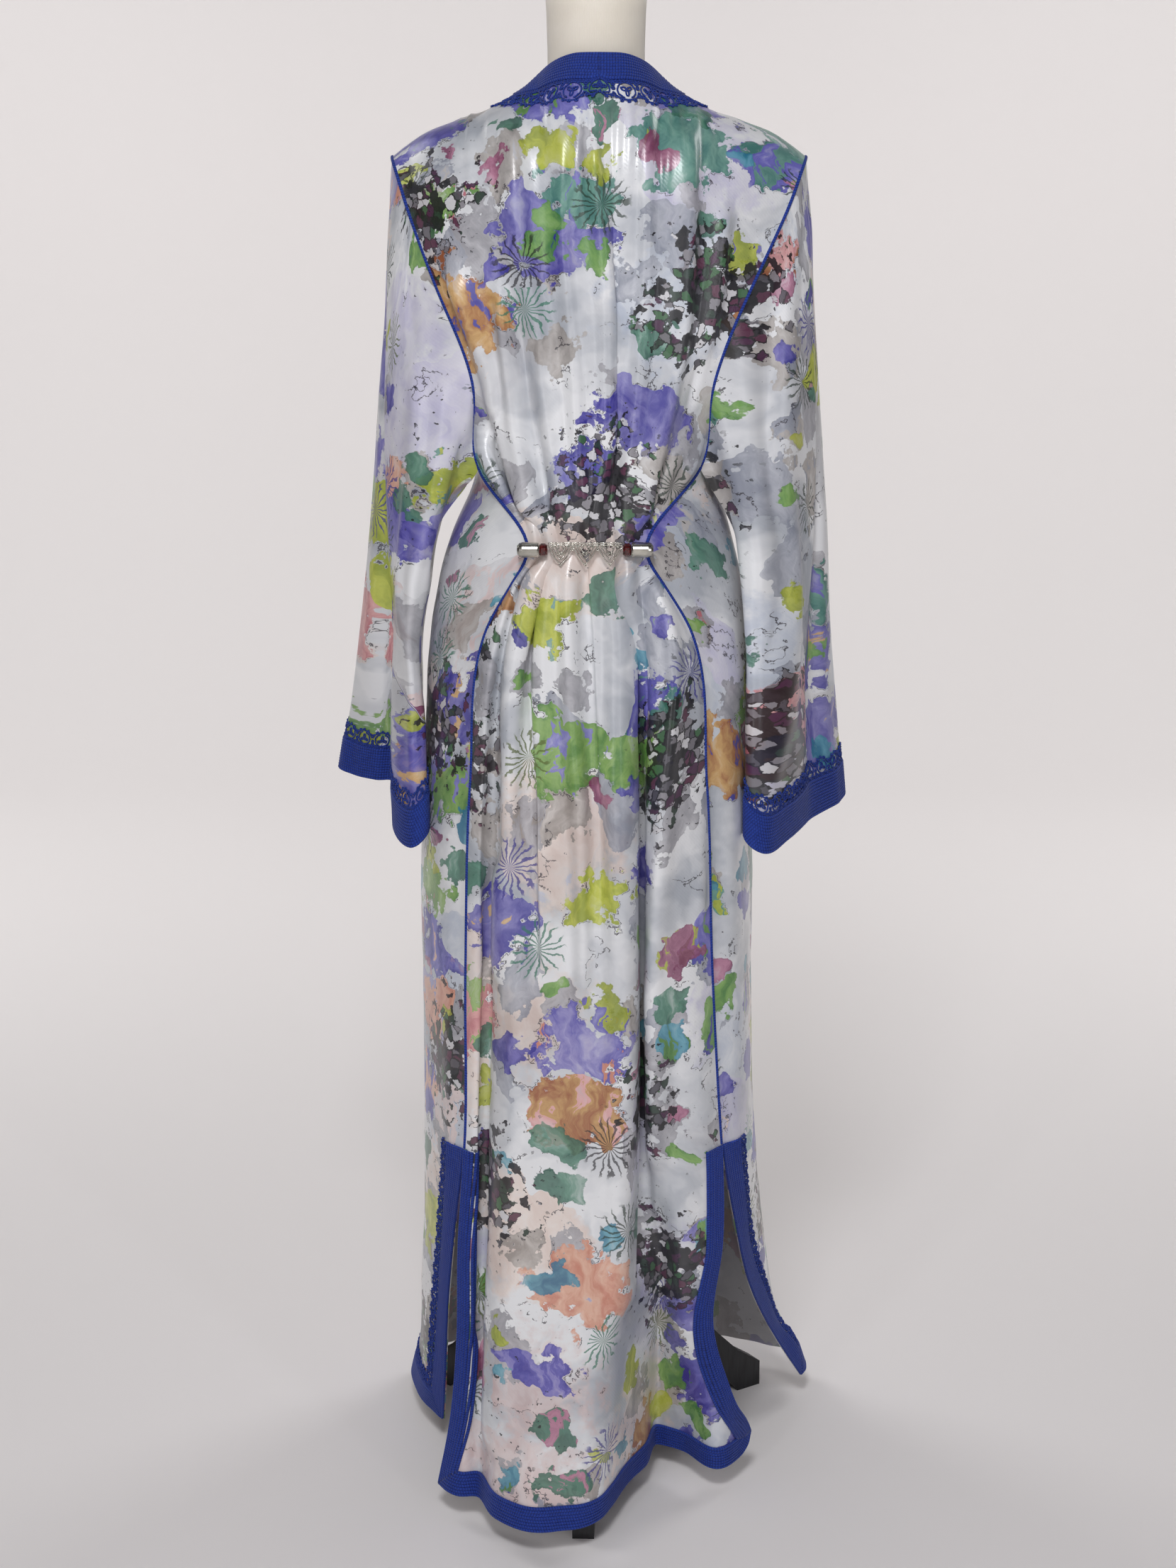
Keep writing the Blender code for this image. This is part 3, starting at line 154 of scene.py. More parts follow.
rightSleeveRings = (
    (.25, ((.217, .005, 1.25), (.213, -.02, 1.23), (.204, -.042, 1.2), (.188, -.062, 1.16),
            (.168, -.075, 1.11), (.15, -.074, 1.06), (.139, -.059, 1.035), (.161, .004, 1.03),
            (.162, .05, 1.06), (.172, .08, 1.11), (.191, .082, 1.16), (.21, .045, 1.21))),
    (.5, ((.233, .03, 1.09), (.229, .008, 1.08), (.217, -.008, 1.06), (.203, -.024, 1.03),
            (.196, -.052, 1), (.171, -.08, .97), (.147, -.074, .94), (.177, .002, .93),
            (.176, .055, .94), (.186, .092, .98), (.205, .106, 1.03), (.226, .075, 1.07))),
    (.75, ((.248, .06, .9), (.242, .034, .9), (.226, .018, .89), (.207, 0, .88),
            (.199, -.05, .87), (.171, -.088, .86), (.148, -.08, .85), (.174, -.004, .85),
            (.174, .056, .85), (.188, .108, .87), (.216, .128, .89), (.241, .102, .9))),
    (1, ((.267, .09, .741), (.259, .064, .736), (.246, .044, .733), (.219, .006, .728),
            (.194, -.048, .723), (.17, -.088, .718), (.151, -.078, .735), (.176, -.002, .755),
            (.176, .066, .757), (.19, .124, .752), (.221, .148, .746), (.254, .13, .742))),
)

body = dict(
    neckHalf=.058, neckSide=1.488, flatHalf=.09,
    yoke=1.36, chest=1.2, underarm=1.11, slitTop=.41, hem=.03,
    vBottom=1.31, vRound=1.6, backDepth=.06, frontDepth=.045,
    cloth=.0009,  # thickness that is drawn; the satin itself is about 0.3 mm
)


def unit(v):
    return v / np.maximum(np.linalg.norm(v, axis=-1, keepdims=True), 1e-12)


def spline(knots, values, at):
    # smooth curve through values at rising knots
    knots, values, at = np.asarray(knots, float), np.asarray(values, float), np.atleast_1d(at).astype(float)
    steps = np.diff(knots).reshape((-1,) + (1,) * (values.ndim - 1))
    slopes = np.diff(values, axis=0) / steps
    inner = (slopes[:-1] * steps[1:] + slopes[1:] * steps[:-1]) / (steps[:-1] + steps[1:])
    tangents = np.concatenate([slopes[:1], inner, slopes[-1:]])
    i = np.clip(np.searchsorted(knots, at, side="right") - 1, 0, len(knots) - 2)
    h = steps[i]
    t = ((at - knots[i]) / (knots[i + 1] - knots[i])).reshape(h.shape)
    return ((2 * t**3 - 3 * t**2 + 1) * values[i] + (t**3 - 2 * t**2 + t) * h * tangents[i]
            + (3 * t**2 - 2 * t**3) * values[i + 1] + (t**3 - t**2) * h * tangents[i + 1])


def sectionAt(sections, heights):
    rising = sections[::-1]
    return spline([row[0] for row in rising], [row[1] for row in rising], heights)


def smooth01(x):
    x = np.clip(x, 0, 1)
    return x * x * (3 - 2 * x)


# The upper body is one rule: wrap runs from 0 on the shoulder ridge to -1 at the yoke and 1 at the chest

def shoulderHeight(x):
    distances, heights = zip(*shoulderRidge)
    return spline(distances, heights, np.clip(np.abs(x), 0, distances[-1]).ravel()).reshape(np.shape(x))


def flatnessAt(x):
    return .5 + .5 * np.clip(1 - np.abs(x) / body["flatHalf"], 0, 1)


backLevel = sectionAt(backSections, body["yoke"])[0]
frontLevel = sectionAt(frontSections, body["chest"])[0]


def levelDepth(stations, x):
    inside = np.clip(x, stations[0, 0], stations[-1, 0]).ravel()
    return np.abs(spline(stations[:, 0], stations[:, 1], inside)).reshape(x.shape)


def shoulderPoint(x, wrap):
    x, wrap = np.asarray(x, float), np.asarray(wrap, float)
    behind = wrap < 0
    drop = np.abs(wrap) ** (1 / flatnessAt(x))
    ridge = shoulderHeight(x)
    level = np.where(behind, body["yoke"], body["chest"])
    full = np.where(behind, levelDepth(backLevel, x), levelDepth(frontLevel, x))
    onNeck = np.maximum(0, 1 - (np.abs(x) / body["neckHalf"]) ** 2)
    start = np.where(behind, body["backDepth"], body["frontDepth"]) * onNeck
    share = (1 - (1 - np.minimum(drop, 1)) ** 2) ** flatnessAt(x)
    y = (start + (full - start) * share) * np.where(behind, -1, 1)
    return np.stack([x, y, ridge - (ridge - level) * drop], axis=-1)


def necklineWrap(x):
    share = np.minimum(np.abs(x), body["neckHalf"]) / body["neckHalf"]
    height = body["vBottom"] + (body["neckSide"] - body["vBottom"]) * share ** body["vRound"]
    ridge = shoulderHeight(x)
    return np.clip((ridge - height) / (ridge - body["chest"]), 0, 1) ** flatnessAt(x)


# Panels are grids: rows from the shoulder to the hem, columns from the left edge to the right

armholeSteps = 8  # fine rows to each coarse row of the solids
backPanel = dict(side=-1, sections=backSections, top=backTop, level=backLevel, columns=168,
                 shares=(0, .22, .42, .62, .81, 1), heights=(1.36, 1.3, 1.24, 1.17, 1.11))
frontPanel = dict(side=1, sections=frontSections, top=frontTop, level=frontLevel, columns=150,
                  shares=(0, .12, .26, .44, .66, 1), heights=(1.2, 1.165, 1.145, 1.125, 1.11))
lowerHeights = np.concatenate([np.linspace(1.11, .41, 106)[1:], np.linspace(.41, .03, 58)[1:]])
armholeRows = 9 * armholeSteps
slitRow = armholeRows + 105


def panelGrid(cut):
    count = len(cut["top"])
    columns = np.linspace(0, count - 1, cut["columns"] + 1)
    top = spline(range(count), cut["top"], columns)
    low = spline(range(count), cut["level"][:, 0], columns)
    begin = necklineWrap(top) if cut["side"] > 0 else np.zeros(len(top))
    coarse = np.arange(armholeRows + 1) / armholeSteps
    rows = []
    for at in coarse[coarse <= 5]:
        share = np.interp(at, range(6), cut["shares"])
        wrap = begin + (1 - begin) * share
        x = top + (low - top) * wrap ** (1 / flatnessAt(top))
        rows.append(shoulderPoint(x, cut["side"] * np.maximum(wrap, 1e-6)))
    heights = np.concatenate([np.interp(coarse[coarse > 5], range(5, 10), cut["heights"]), lowerHeights])
    for height, stations in zip(heights, sectionAt(cut["sections"], heights)):
        row = spline(range(count), stations, columns)
        rows.append(np.column_stack([row, np.full(len(row), height)]))
    return np.array(rows), columns


def easeLevel(grid):
    # takes the crease out where the shoulder rule meets the sections
    middle, reach = 5 * armholeSteps, 14
    rows = np.arange(len(grid))
    weight = smooth01(1 - np.abs(rows - middle) / reach)[:, None, None] * .5
    for _ in range(60):
        around = grid.copy()
        around[1:-1] = (grid[:-2] + grid[2:]) / 2
        grid = grid + (around - grid) * weight
    return grid


def joinEdges(back, backColumns, front, frontColumns):
    # both panels share one edge from the underarm to the top of the slit
    rows = slice(armholeRows, slitRow + 1)
    for edge in (0, -1):
        shared = (back[rows, edge] + front[rows, edge]) / 2
        for grid, columns in ((back, backColumns), (front, frontColumns)):
            inside = columns if edge == 0 else columns[-1] - columns
            fall = np.clip(1 - inside / 1.5, 0, 1)[None, :, None] ** 2
            grid[rows] += (shared - grid[rows, edge])[:, None, :] * fall


def gridNormals(grid, closed=False):
    across = (np.roll(grid, -1, axis=1) - np.roll(grid, 1, axis=1)) if closed else np.gradient(grid, axis=1)
    return unit(np.cross(np.gradient(grid, axis=0), across))


def waveNoise(seed, x, y, octaves=4):
    # smooth seeded noise made of waves, about -1 to 1
    dice = np.random.default_rng(seed)
    total, size = 0, 0
    for octave in range(octaves):
        for _ in range(7):
            angle, phase = dice.uniform(0, 2 * np.pi), dice.uniform(0, 2 * np.pi)
            length = 2**octave * dice.uniform(.7, 1.4)
            total = total + np.sin((x * np.cos(angle) + y * np.sin(angle)) * length + phase) / 2**octave
        size += 1 / 2**octave
    return total / size / 2.2


folds = dict(
    gatherDepth=.0026, gatherFrom=1.455, gathers=19,  # pleats let into the neck lace
    crestScale=2.1, skirtDepth=.0036, skirtWave=58, bodyDepth=.0010, frontDepth=.0035, frontWave=75,
)
backFolds = (
    # height, width left and right of the crest, then the crest's x and z from the top down
    (.0046, .016, .012, ((-.083, 1.43), (-.074, 1.32), (-.059, 1.248), (-.051, 1.18), (-.033, 1.06))),
    (.0056, .006, .016, ((-.142, 1.30), (-.117, 1.216), (-.088, 1.127), (-.066, 1.053))),
    (.0044, .008, .007, ((-.166, 1.29), (-.140, 1.20), (-.108, 1.12), (-.078, 1.055))),
    (-.0050, .006, .006, ((-.150, 1.27), (-.128, 1.20), (-.098, 1.125), (-.073, 1.058))),
    (.0032, .014, .006, ((-.006, 1.42), (.006, 1.31), (.011, 1.16), (-.006, 1.06))),
    (.0054, .024, .009, ((.084, 1.43), (.084, 1.32), (.079, 1.235), (.067, 1.18), (.055, 1.127),
                         (.041, 1.05))),
    (.0040, .012, .008, ((.120, 1.36), (.113, 1.28), (.094, 1.19), (.070, 1.12), (.050, 1.06))),
    (.0036, .007, .010, ((.140, 1.24), (.116, 1.17), (.084, 1.10), (.058, 1.055))),
    (.0026, .010, .010, ((-.035, 1.44), (-.034, 1.34), (-.026, 1.22), (-.018, 1.08))),
    (.0024, .009, .011, ((.042, 1.44), (.045, 1.33), (.040, 1.22), (.024, 1.08))),
    (-.0050, .008, .008, ((.100, 1.22), (.079, 1.147), (.061, 1.107), (.047, 1.058))),
    (-.0040, .008, .008, ((-.076, 1.25), (-.066, 1.17), (-.052, 1.08))),
    (.0036, .007, .007, ((-.096, 1.28), (-.086, 1.19), (-.064, 1.07))),
    (.0046, .010, .008, ((-.060, 1.02), (-.082, .93), (-.088, .80), (-.092, .60))),
    (.0050, .009, .013, ((-.048, 1.02), (-.056, .92), (-.058, .78), (-.050, .62))),
    (.0042, .010, .010, ((-.030, 1.02), (-.030, .92), (-.020, .78), (-.016, .60))),
    (.0040, .010, .008, ((-.006, 1.02), (.000, .92), (.006, .80))),
    (.0060, .018, .007, ((.030, 1.02), (.026, .90), (.024, .70), (.027, .45), (.026, .25))),
    (-.0052, .010, .012, ((.044, 1.01), (.042, .88), (.038, .70), (.041, .50), (.042, .28))),
    (.0048, .008, .014, ((.052, 1.02), (.070, .94), (.062, .78), (.056, .60), (.060, .40))),
    (.0040, .009, .009, ((.060, 1.01), (.094, .93), (.108, .82), (.104, .66))),
    (.0050, .008, .020, ((-.098, .72), (-.104, .50), (-.105, .30), (-.110, .10))),
    (-.0040, .010, .007, ((-.118, .66), (-.120, .45), (-.124, .20))),
)


def foldProfile(away, left, right):
    return np.exp(-(away / np.where(away < 0, left, right)) ** 2)


def foldDepth(points, side):
    # how far the satin lies out of its main form at each point
    x, z = points[..., 0], points[..., 2]
    deep = np.zeros(x.shape)
    if side < 0:
        dice = np.random.default_rng(4)
        below = folds["gatherFrom"] - z
        for middle in np.linspace(-.14, .14, folds["gathers"]):
            middle, lean = middle + dice.uniform(-.005, .005), dice.uniform(-.05, .05)
            width, height, length = dice.uniform(.0032, .0052), dice.uniform(.5, 1.3), dice.uniform(.05,
                                                                                                    .16)
            reach = smooth01(below / .02 + .4) * smooth01(1 - below / length)
            deep += folds["gatherDepth"] * height * reach * foldProfile(x - middle - lean * below, width,
                                                                        width)
        for height, left, right, path in backFolds:
            xs, zs = np.array(path[::-1]).T
            crest = spline(zs, xs, np.clip(z, zs[0], zs[-1]))
            ends = smooth01((zs[-1] - z) / .035 + .5) * smooth01((z - zs[0]) / .035 + .5)
            deep += folds["crestScale"] * height * ends * foldProfile(x - crest, left * .8, right * .8)
    low = smooth01((1.0 - z) / .35)
    deep += folds["skirtDepth"] * low * waveNoise(11 + side, x * folds["skirtWave"], z * 4.5, 2)
    deep += folds["bodyDepth"] * smooth01((1.38 - z) / .12) * waveNoise(23 + side, x * 70, z * 26, 3)
    if side > 0:
        deep += folds["frontDepth"] * smooth01((1.08 - z) / .3) * waveNoise(71, x * folds["frontWave"],
                                                                            z * 3.5, 2)
    return deep


def edgeEase(grid, width):
    # 0 on the side edges, 1 inside them
    lengths = np.zeros(grid.shape[:2])
    lengths[:, 1:] = np.cumsum(np.linalg.norm(np.diff(grid, axis=1), axis=2), axis=1)
    inside = np.minimum(lengths, lengths[:, -1:] - lengths)
    return smooth01(inside / width)


backGrid, backColumns = panelGrid(backPanel)
frontGrid, frontColumns = panelGrid(frontPanel)
backGrid, frontGrid = easeLevel(backGrid), easeLevel(frontGrid)
joinEdges(backGrid, backColumns, frontGrid, frontColumns)
cornerRound = .024  # the back hem's right corner is cut round
inside = np.linalg.norm(backGrid[-1, -1] - backGrid[-1], axis=1)
cornerArc = np.sqrt(np.maximum(cornerRound**2 - (cornerRound - inside) ** 2, 0))
rise = np.where(inside < cornerRound, cornerRound - cornerArc, 0)
backGrid[..., 2] += rise[None, :] * smooth01((.12 - backGrid[..., 2]) / .09)
for grid, side in ((backGrid, -1), (frontGrid, 1)):
    out = gridNormals(grid) * -side
    grid += out * (foldDepth(grid, side) * edgeEase(grid, .03))[..., None]
backOut, frontOut = gridNormals(backGrid), -gridNormals(frontGrid)
print("panels drawn:", backGrid.shape, frontGrid.shape)

# Sleeves are rings of points from the armhole to the cuff

sleeve = dict(rows=150, foldDepth=.0030, printRadius=.072)
sleeveFolds = dict(
    # height, width before and after the crest in stations, then the crest's (station, share of the length)
    # points
    left=((.0065, .30, .85, ((1.0, .05), (1.7, .30), (2.6, .55), (3.6, .80), (3.9, 1.0))),
          (-.0040, .5, .3, ((.5, .05), (1.1, .30), (1.9, .55), (2.8, .80))),
          (.0045, .4, .4, ((5.0, .10), (4.7, .30), (5.0, .50))),
          (.0040, .35, .35, ((3.6, .15), (3.6, .40), (4.6, .62))),
          (-.0120, 1.0, 1.2, ((6.1, .03), (6.2, .20), (6.2, .33)))),
    right=((.0065, .30, .80, ((1.1, .05), (1.4, .30), (2.2, .55), (3.0, .80), (3.2, 1.0))),
           (-.0045, .4, .3, ((.7, .05), (.9, .30), (1.6, .55), (2.3, .80))),
           (.0050, .45, .40, ((3.0, .06), (3.2, .30), (4.0, .60), (4.6, .85))),
           (-.0040, .4, .4, ((3.9, .15), (4.2, .40), (4.9, .62))),
           (.0040, .35, .35, ((5.2, .08), (5.0, .25), (5.2, .45)))),
)


def armholeRing(edge):
    back, front = backGrid[: armholeRows + 1, edge], frontGrid[armholeRows - 1 : 0 : -1, edge]
    return np.concatenate([back, front])


def sleeveGrid(rings, edge, seed, crests):
    start = armholeRing(edge)
    count = len(start)
    around = np.arange(count) * 12 / count
    loops = [start]
    for _, stations in rings:
        wrapped = np.concatenate([stations[-3:], stations, stations[:4]])
        loops.append(spline(np.arange(-3, 16), wrapped, around))
    loops, shares = np.array(loops), [0] + [row[0] for row in rings]
    grid = spline(shares, loops, np.linspace(0, 1, sleeve["rows"] + 1))
    out = gridNormals(grid, closed=True) * (1 if edge == 0 else -1)
    share, turn = np.meshgrid(np.linspace(0, 1, sleeve["rows"] + 1), around * np.pi / 6, indexing="ij")
    round1, round2 = np.cos(turn), np.sin(turn)
    deep = waveNoise(seed, round1 * 3.2 + share * 2.2, round2 * 3.2 - share * 1.7, 3)
    deep += .35 * waveNoise(seed + 1, round1 * 5 + share * 14, round2 * 5 + share * 9, 2)
    deep *= sleeve["foldDepth"]
    for height, before, after, path in crests:
        stations, shares = np.array(path).T
        crest = spline(shares, stations, np.clip(share, shares[0], shares[-1]))
        ends = smooth01((share - shares[0]) / .1 + .5) * smooth01((shares[-1] - share) / .12 + .5)
        away = (turn * 6 / np.pi - crest + 6) % 12 - 6
        deep += height * ends * foldProfile(away, before, after)
    ease = smooth01(share / .12) * (1 - .6 * smooth01((share - .86) / .12))
    return grid + out * (deep * ease)[..., None]


sleeveGrids = dict(left=sleeveGrid(leftSleeveRings, 0, 31, sleeveFolds["left"]),
                   right=sleeveGrid(rightSleeveRings, -1, 37, sleeveFolds["right"]))
sleeveOuts = dict(left=gridNormals(sleeveGrids["left"], True),
                  right=-gridNormals(sleeveGrids["right"], True))
print("sleeves drawn")

# Materials. The print's patterns take their scale from sizes in metres

def hexColour(text):
    # sRGB hex to linear
    parts = [int(text[i : i + 2], 16) / 255 for i in (1, 3, 5)]
    return tuple(p / 12.92 if p <= .04045 else ((p + .055) / 1.055) ** 2.4 for p in parts) + (1,)


def addNode(tree, kind, settings=None, links=None):
    # settings: a property's name or an input's name or number to its value; links: input to socket
    node = tree.nodes.new(kind)
    for key, value in (settings or {}).items():
        if isinstance(key, str) and hasattr(node, key):
            setattr(node, key, value)
        else:
            node.inputs[key].default_value = value
    for key, socket in (links or {}).items():
        tree.links.new(socket, node.inputs[key])
    return node


def newMaterial(name, **values):
    material = bpy.data.materials.new(name)
    material.use_nodes = True
    shader = material.node_tree.nodes["Principled BSDF"]
    for key, value in values.items():
        shader.inputs[key.replace("_", " ")].default_value = value
    return material, material.node_tree, shader


def ramp(tree, fac, stops, interpolation="LINEAR"):
    node = addNode(tree, "ShaderNodeValToRGB", links={"Fac": fac})
    node.color_ramp.interpolation = interpolation
    while len(node.color_ramp.elements) < len(stops):
        node.color_ramp.elements.new(.5)
    for element, (place, colour) in zip(node.color_ramp.elements, stops):
        element.position = place
        element.color = hexColour(colour) if isinstance(colour, str) else (colour, colour, colour, 1)
    return node.outputs["Color"]


def maths(tree, operation, first, second=None, third=None, clamp=False):
    node = addNode(tree, "ShaderNodeMath", {"operation": operation, "use_clamp": clamp})
    for slot, value in enumerate((first, second, third)):
        if value is None:
            continue
        if isinstance(value, (int, float)):
            node.inputs[slot].default_value = value
        else:
            tree.links.new(value, node.inputs[slot])
    return node.outputs[0]


# The print: watercolour blots in the cells of nets, then spiky flowers and ink. Sizes are metres

printLayers = (
    # name, cell size, stretch along and up, shift, share of cells, blot size in cells, softness, strength,
    # (light, deep) pairs
    ("paleWash", .150, (.9, 1.1), (3.1, 7.7), .68, (.30, .62), .15, .6,
     (("#d5d2e4", "#b4aed6"), ("#efdccf", "#e0c2b0"), ("#d2d2d5", "#bcbcc1"), ("#e7d2ce", "#d3aea8"),
      ("#cfd5de", "#a9b5ca"))),
    ("greyLeaf", .066, (1, .8), (11.4, 2.9), .60, (.25, .52), .014, .85,
     (("#b9b8bd", "#8f8e95"), ("#bfb9b4", "#948d88"), ("#b4b7c1", "#868b9a"))),
    ("boldBlot", .106, (.82, 1.2), (23.8, 9.3), .58, (.26, .54), .016, .93,
     (("#8782c6", "#3f3aa6"), ("#6b67c0", "#2d2894"), ("#76a898", "#38776f"), ("#cdd352", "#9ba82d"),
      ("#a09bce", "#534eae"),
      ("#e9bba2", "#cf8770"), ("#7f7bcb", "#2b2a9a"), ("#93b862", "#54893b"), ("#e6b0ad",
                                                                               "#bb6a76"), ("#d6ad6c",
                                                                                            "#9c5526"),
      ("#8a86c4", "#45409f"))),
    ("smallBlot", .05, (.9, 1.1), (37.2, 5.1), .36, (.2, .46), .016, .9,
     (("#69adbf", "#267595"), ("#86b454", "#457f37"), ("#7570c0", "#2f2a92"), ("#c6cd49", "#8f9c28"),
      ("#c2849f", "#803760"),
      ("#579079", "#2a5f50"))),
)
flower = dict(spacing=.112, share=.45, rays=17, reach=.034, colours=("#2b3f33", "#3b3592", "#5c6b2a",
                                                                     "#221f28", "#2f7a62"))
ink = dict(spacing=.295, share=.72, reach=.064, cell=.0098, line="#1b1a1f",
           colours=("#141418", "#4a2445", "#2b3f34", "#1d1c22", "#77747a", "#3f6a45", "#8d8a90", "#d4d3d6",
                    "#232028", "#5d3048", "#54525a"))


def steps(colours):
    return [(k / len(colours), colour) for k, colour in enumerate(colours)]


def smoothly(tree, value, start, end):
    return addNode(tree, "ShaderNodeMapRange", {"interpolation_type": "SMOOTHSTEP", "From Min": start,
                                                "From Max": end},
                   {"Value": value}).outputs[0]


def mixed(tree, amount, first, second):
    node = addNode(tree, "ShaderNodeMix", {"data_type": "RGBA"})
    for slot, value in ((0, amount), (6, first), (7, second)):
        if isinstance(value, (int, float)):
            node.inputs[slot].default_value = value
        elif isinstance(value, str):
            node.inputs[slot].default_value = hexColour(value)
        else:
            tree.links.new(value, node.inputs[slot])
    return node.outputs[2]


def noiseOf(tree, place, size, detail=3.0, roughness=.5, output="Fac"):
    # noise whose lumps are about this many metres across
    return addNode(tree, "ShaderNodeTexNoise", {"Scale": 1 / size, "Detail": detail,
                                                "Roughness": roughness}, {"Vector": place}).outputs[output]


def blotLayer(tree, colour, layer, place, rough, grain):
    # blots of random size and hue in a net's cells, with a darker rim where the pigment dried
    name, size, stretch, shift, share, (least, most), soft, strength, pairs = layer
    at = addNode(tree, "ShaderNodeMapping", {"Location": (*shift, 0), "Scale": (*stretch, 1)},
                 {"Vector": place}).outputs[0]
    cell = addNode(tree, "ShaderNodeTexVoronoi", {"voronoi_dimensions": "2D", "Scale": 1 / size,
                                                  "Randomness": .85, "label": name}, {"Vector": at})
    dice = addNode(tree, "ShaderNodeSeparateColor", links={0: cell.outputs["Color"]}).outputs
    reach = addNode(tree, "ShaderNodeMapRange", {"To Min": least, "To Max": most},
                    {"Value": dice[1]}).outputs[0]
    inside = maths(tree, "SUBTRACT", reach, maths(tree, "MULTIPLY_ADD", maths(tree, "SUBTRACT", rough, .5),
                                                  .9, cell.outputs["Distance"]))
    mask = maths(tree, "MULTIPLY", smoothly(tree, inside, -soft, soft),
                 maths(tree, "LESS_THAN", dice[0], share))
    rim = smoothly(tree, inside, .1, .0)
    tone = maths(tree, "ADD", smoothly(tree, grain, .38, .66), maths(tree, "MULTIPLY", rim, .3), clamp=True)
    hue = maths(tree, "MULTIPLY_ADD", maths(tree, "SUBTRACT", grain, .5), .22, dice[2])
    light = ramp(tree, hue, steps([pair[0] for pair in pairs]), "CONSTANT")
    deep = ramp(tree, hue, steps([pair[1] for pair in pairs]), "CONSTANT")
    amount = maths(tree, "MULTIPLY", mask, maths(tree, "MULTIPLY",
                                                 maths(tree, "MULTIPLY_ADD",
                                                       smoothly(tree, grain, .3, .46), .4, .6), strength))
    return mixed(tree, amount, colour, mixed(tree, tone, light, deep)), inside


def spikyFlowers(tree, colour, place, rough):
    # tufts of thin strokes that leave a middle
    cell = addNode(tree, "ShaderNodeTexVoronoi",
                   {"voronoi_dimensions": "2D", "Scale": 1 / flower["spacing"], "Randomness": .9},
                   {"Vector": place})
    dice = addNode(tree, "ShaderNodeSeparateColor", links={0: cell.outputs["Color"]}).outputs
    away = addNode(tree, "ShaderNodeVectorMath", {"operation": "SUBTRACT"},
                   {0: place, 1: cell.outputs["Position"]}).outputs[0]
    parts = addNode(tree, "ShaderNodeSeparateXYZ", links={0: away}).outputs
    angle = maths(tree, "ARCTAN2", parts[1], parts[0])
    radius = maths(tree, "MULTIPLY", cell.outputs["Distance"], flower["spacing"])
    wave = maths(tree, "SINE", maths(tree, "MULTIPLY_ADD", rough, 16.0,
                                     maths(tree, "MULTIPLY", angle, float(flower["rays"]))))
    taper = maths(tree, "MULTIPLY_ADD", maths(tree, "DIVIDE", radius, flower["reach"]), .75, .1)
    stroke = smoothly(tree, maths(tree, "SUBTRACT", wave, taper), .0, .12)
    inside = smoothly(tree, radius, flower["reach"], flower["reach"] * .8)
    amount = maths(tree, "MULTIPLY", maths(tree, "MULTIPLY", stroke, inside),
                   maths(tree, "LESS_THAN", dice[0], flower["share"]))
    return mixed(tree, maths(tree, "MULTIPLY", amount, .8), colour,
                 ramp(tree, dice[2], steps(flower["colours"]), "CONSTANT"))


def inkClusters(tree, colour, place, fine, rough, grain):
    # blooms of small dark cells with black outlines, which break up towards their rim
    seat = addNode(tree, "ShaderNodeTexVoronoi", {"voronoi_dimensions": "2D", "Scale": 1 / ink["spacing"],
                                                  "Randomness": .7}, {"Vector": place})
    reach = maths(tree, "MULTIPLY", seat.outputs["Distance"], ink["spacing"] / ink["reach"])
    near = maths(tree, "SUBTRACT", 1.0, maths(tree, "MULTIPLY_ADD", maths(tree, "SUBTRACT", rough, .5),
                                              2.2, reach))
    settings = {"voronoi_dimensions": "2D", "Scale": 1 / ink["cell"], "Randomness": 1.0}
    edge = addNode(tree, "ShaderNodeTexVoronoi", {"feature": "DISTANCE_TO_EDGE", **settings},
                   {"Vector": fine}).outputs["Distance"]
    cell = addNode(tree, "ShaderNodeTexVoronoi", settings, {"Vector": fine}).outputs["Color"]
    dice = addNode(tree, "ShaderNodeSeparateColor", links={0: cell}).outputs
    outline = smoothly(tree, maths(tree, "MULTIPLY_ADD", maths(tree, "SUBTRACT", grain, .5), .3, edge),
                       .13, .07)
    fill = mixed(tree, outline, ramp(tree, dice[2], steps(ink["colours"]), "CONSTANT"), ink["line"])
    chosen = addNode(tree, "ShaderNodeSeparateColor", links={0: seat.outputs["Color"]}).outputs[0]
    whole = smoothly(tree, maths(tree, "MULTIPLY_ADD", maths(tree, "SUBTRACT", dice[0], .5), .8, near),
                     .16, .2)
    whole = maths(tree, "MULTIPLY", whole, maths(tree, "LESS_THAN", chosen, ink["share"]))
    return mixed(tree, maths(tree, "MULTIPLY", whole, .95), colour, fill), near


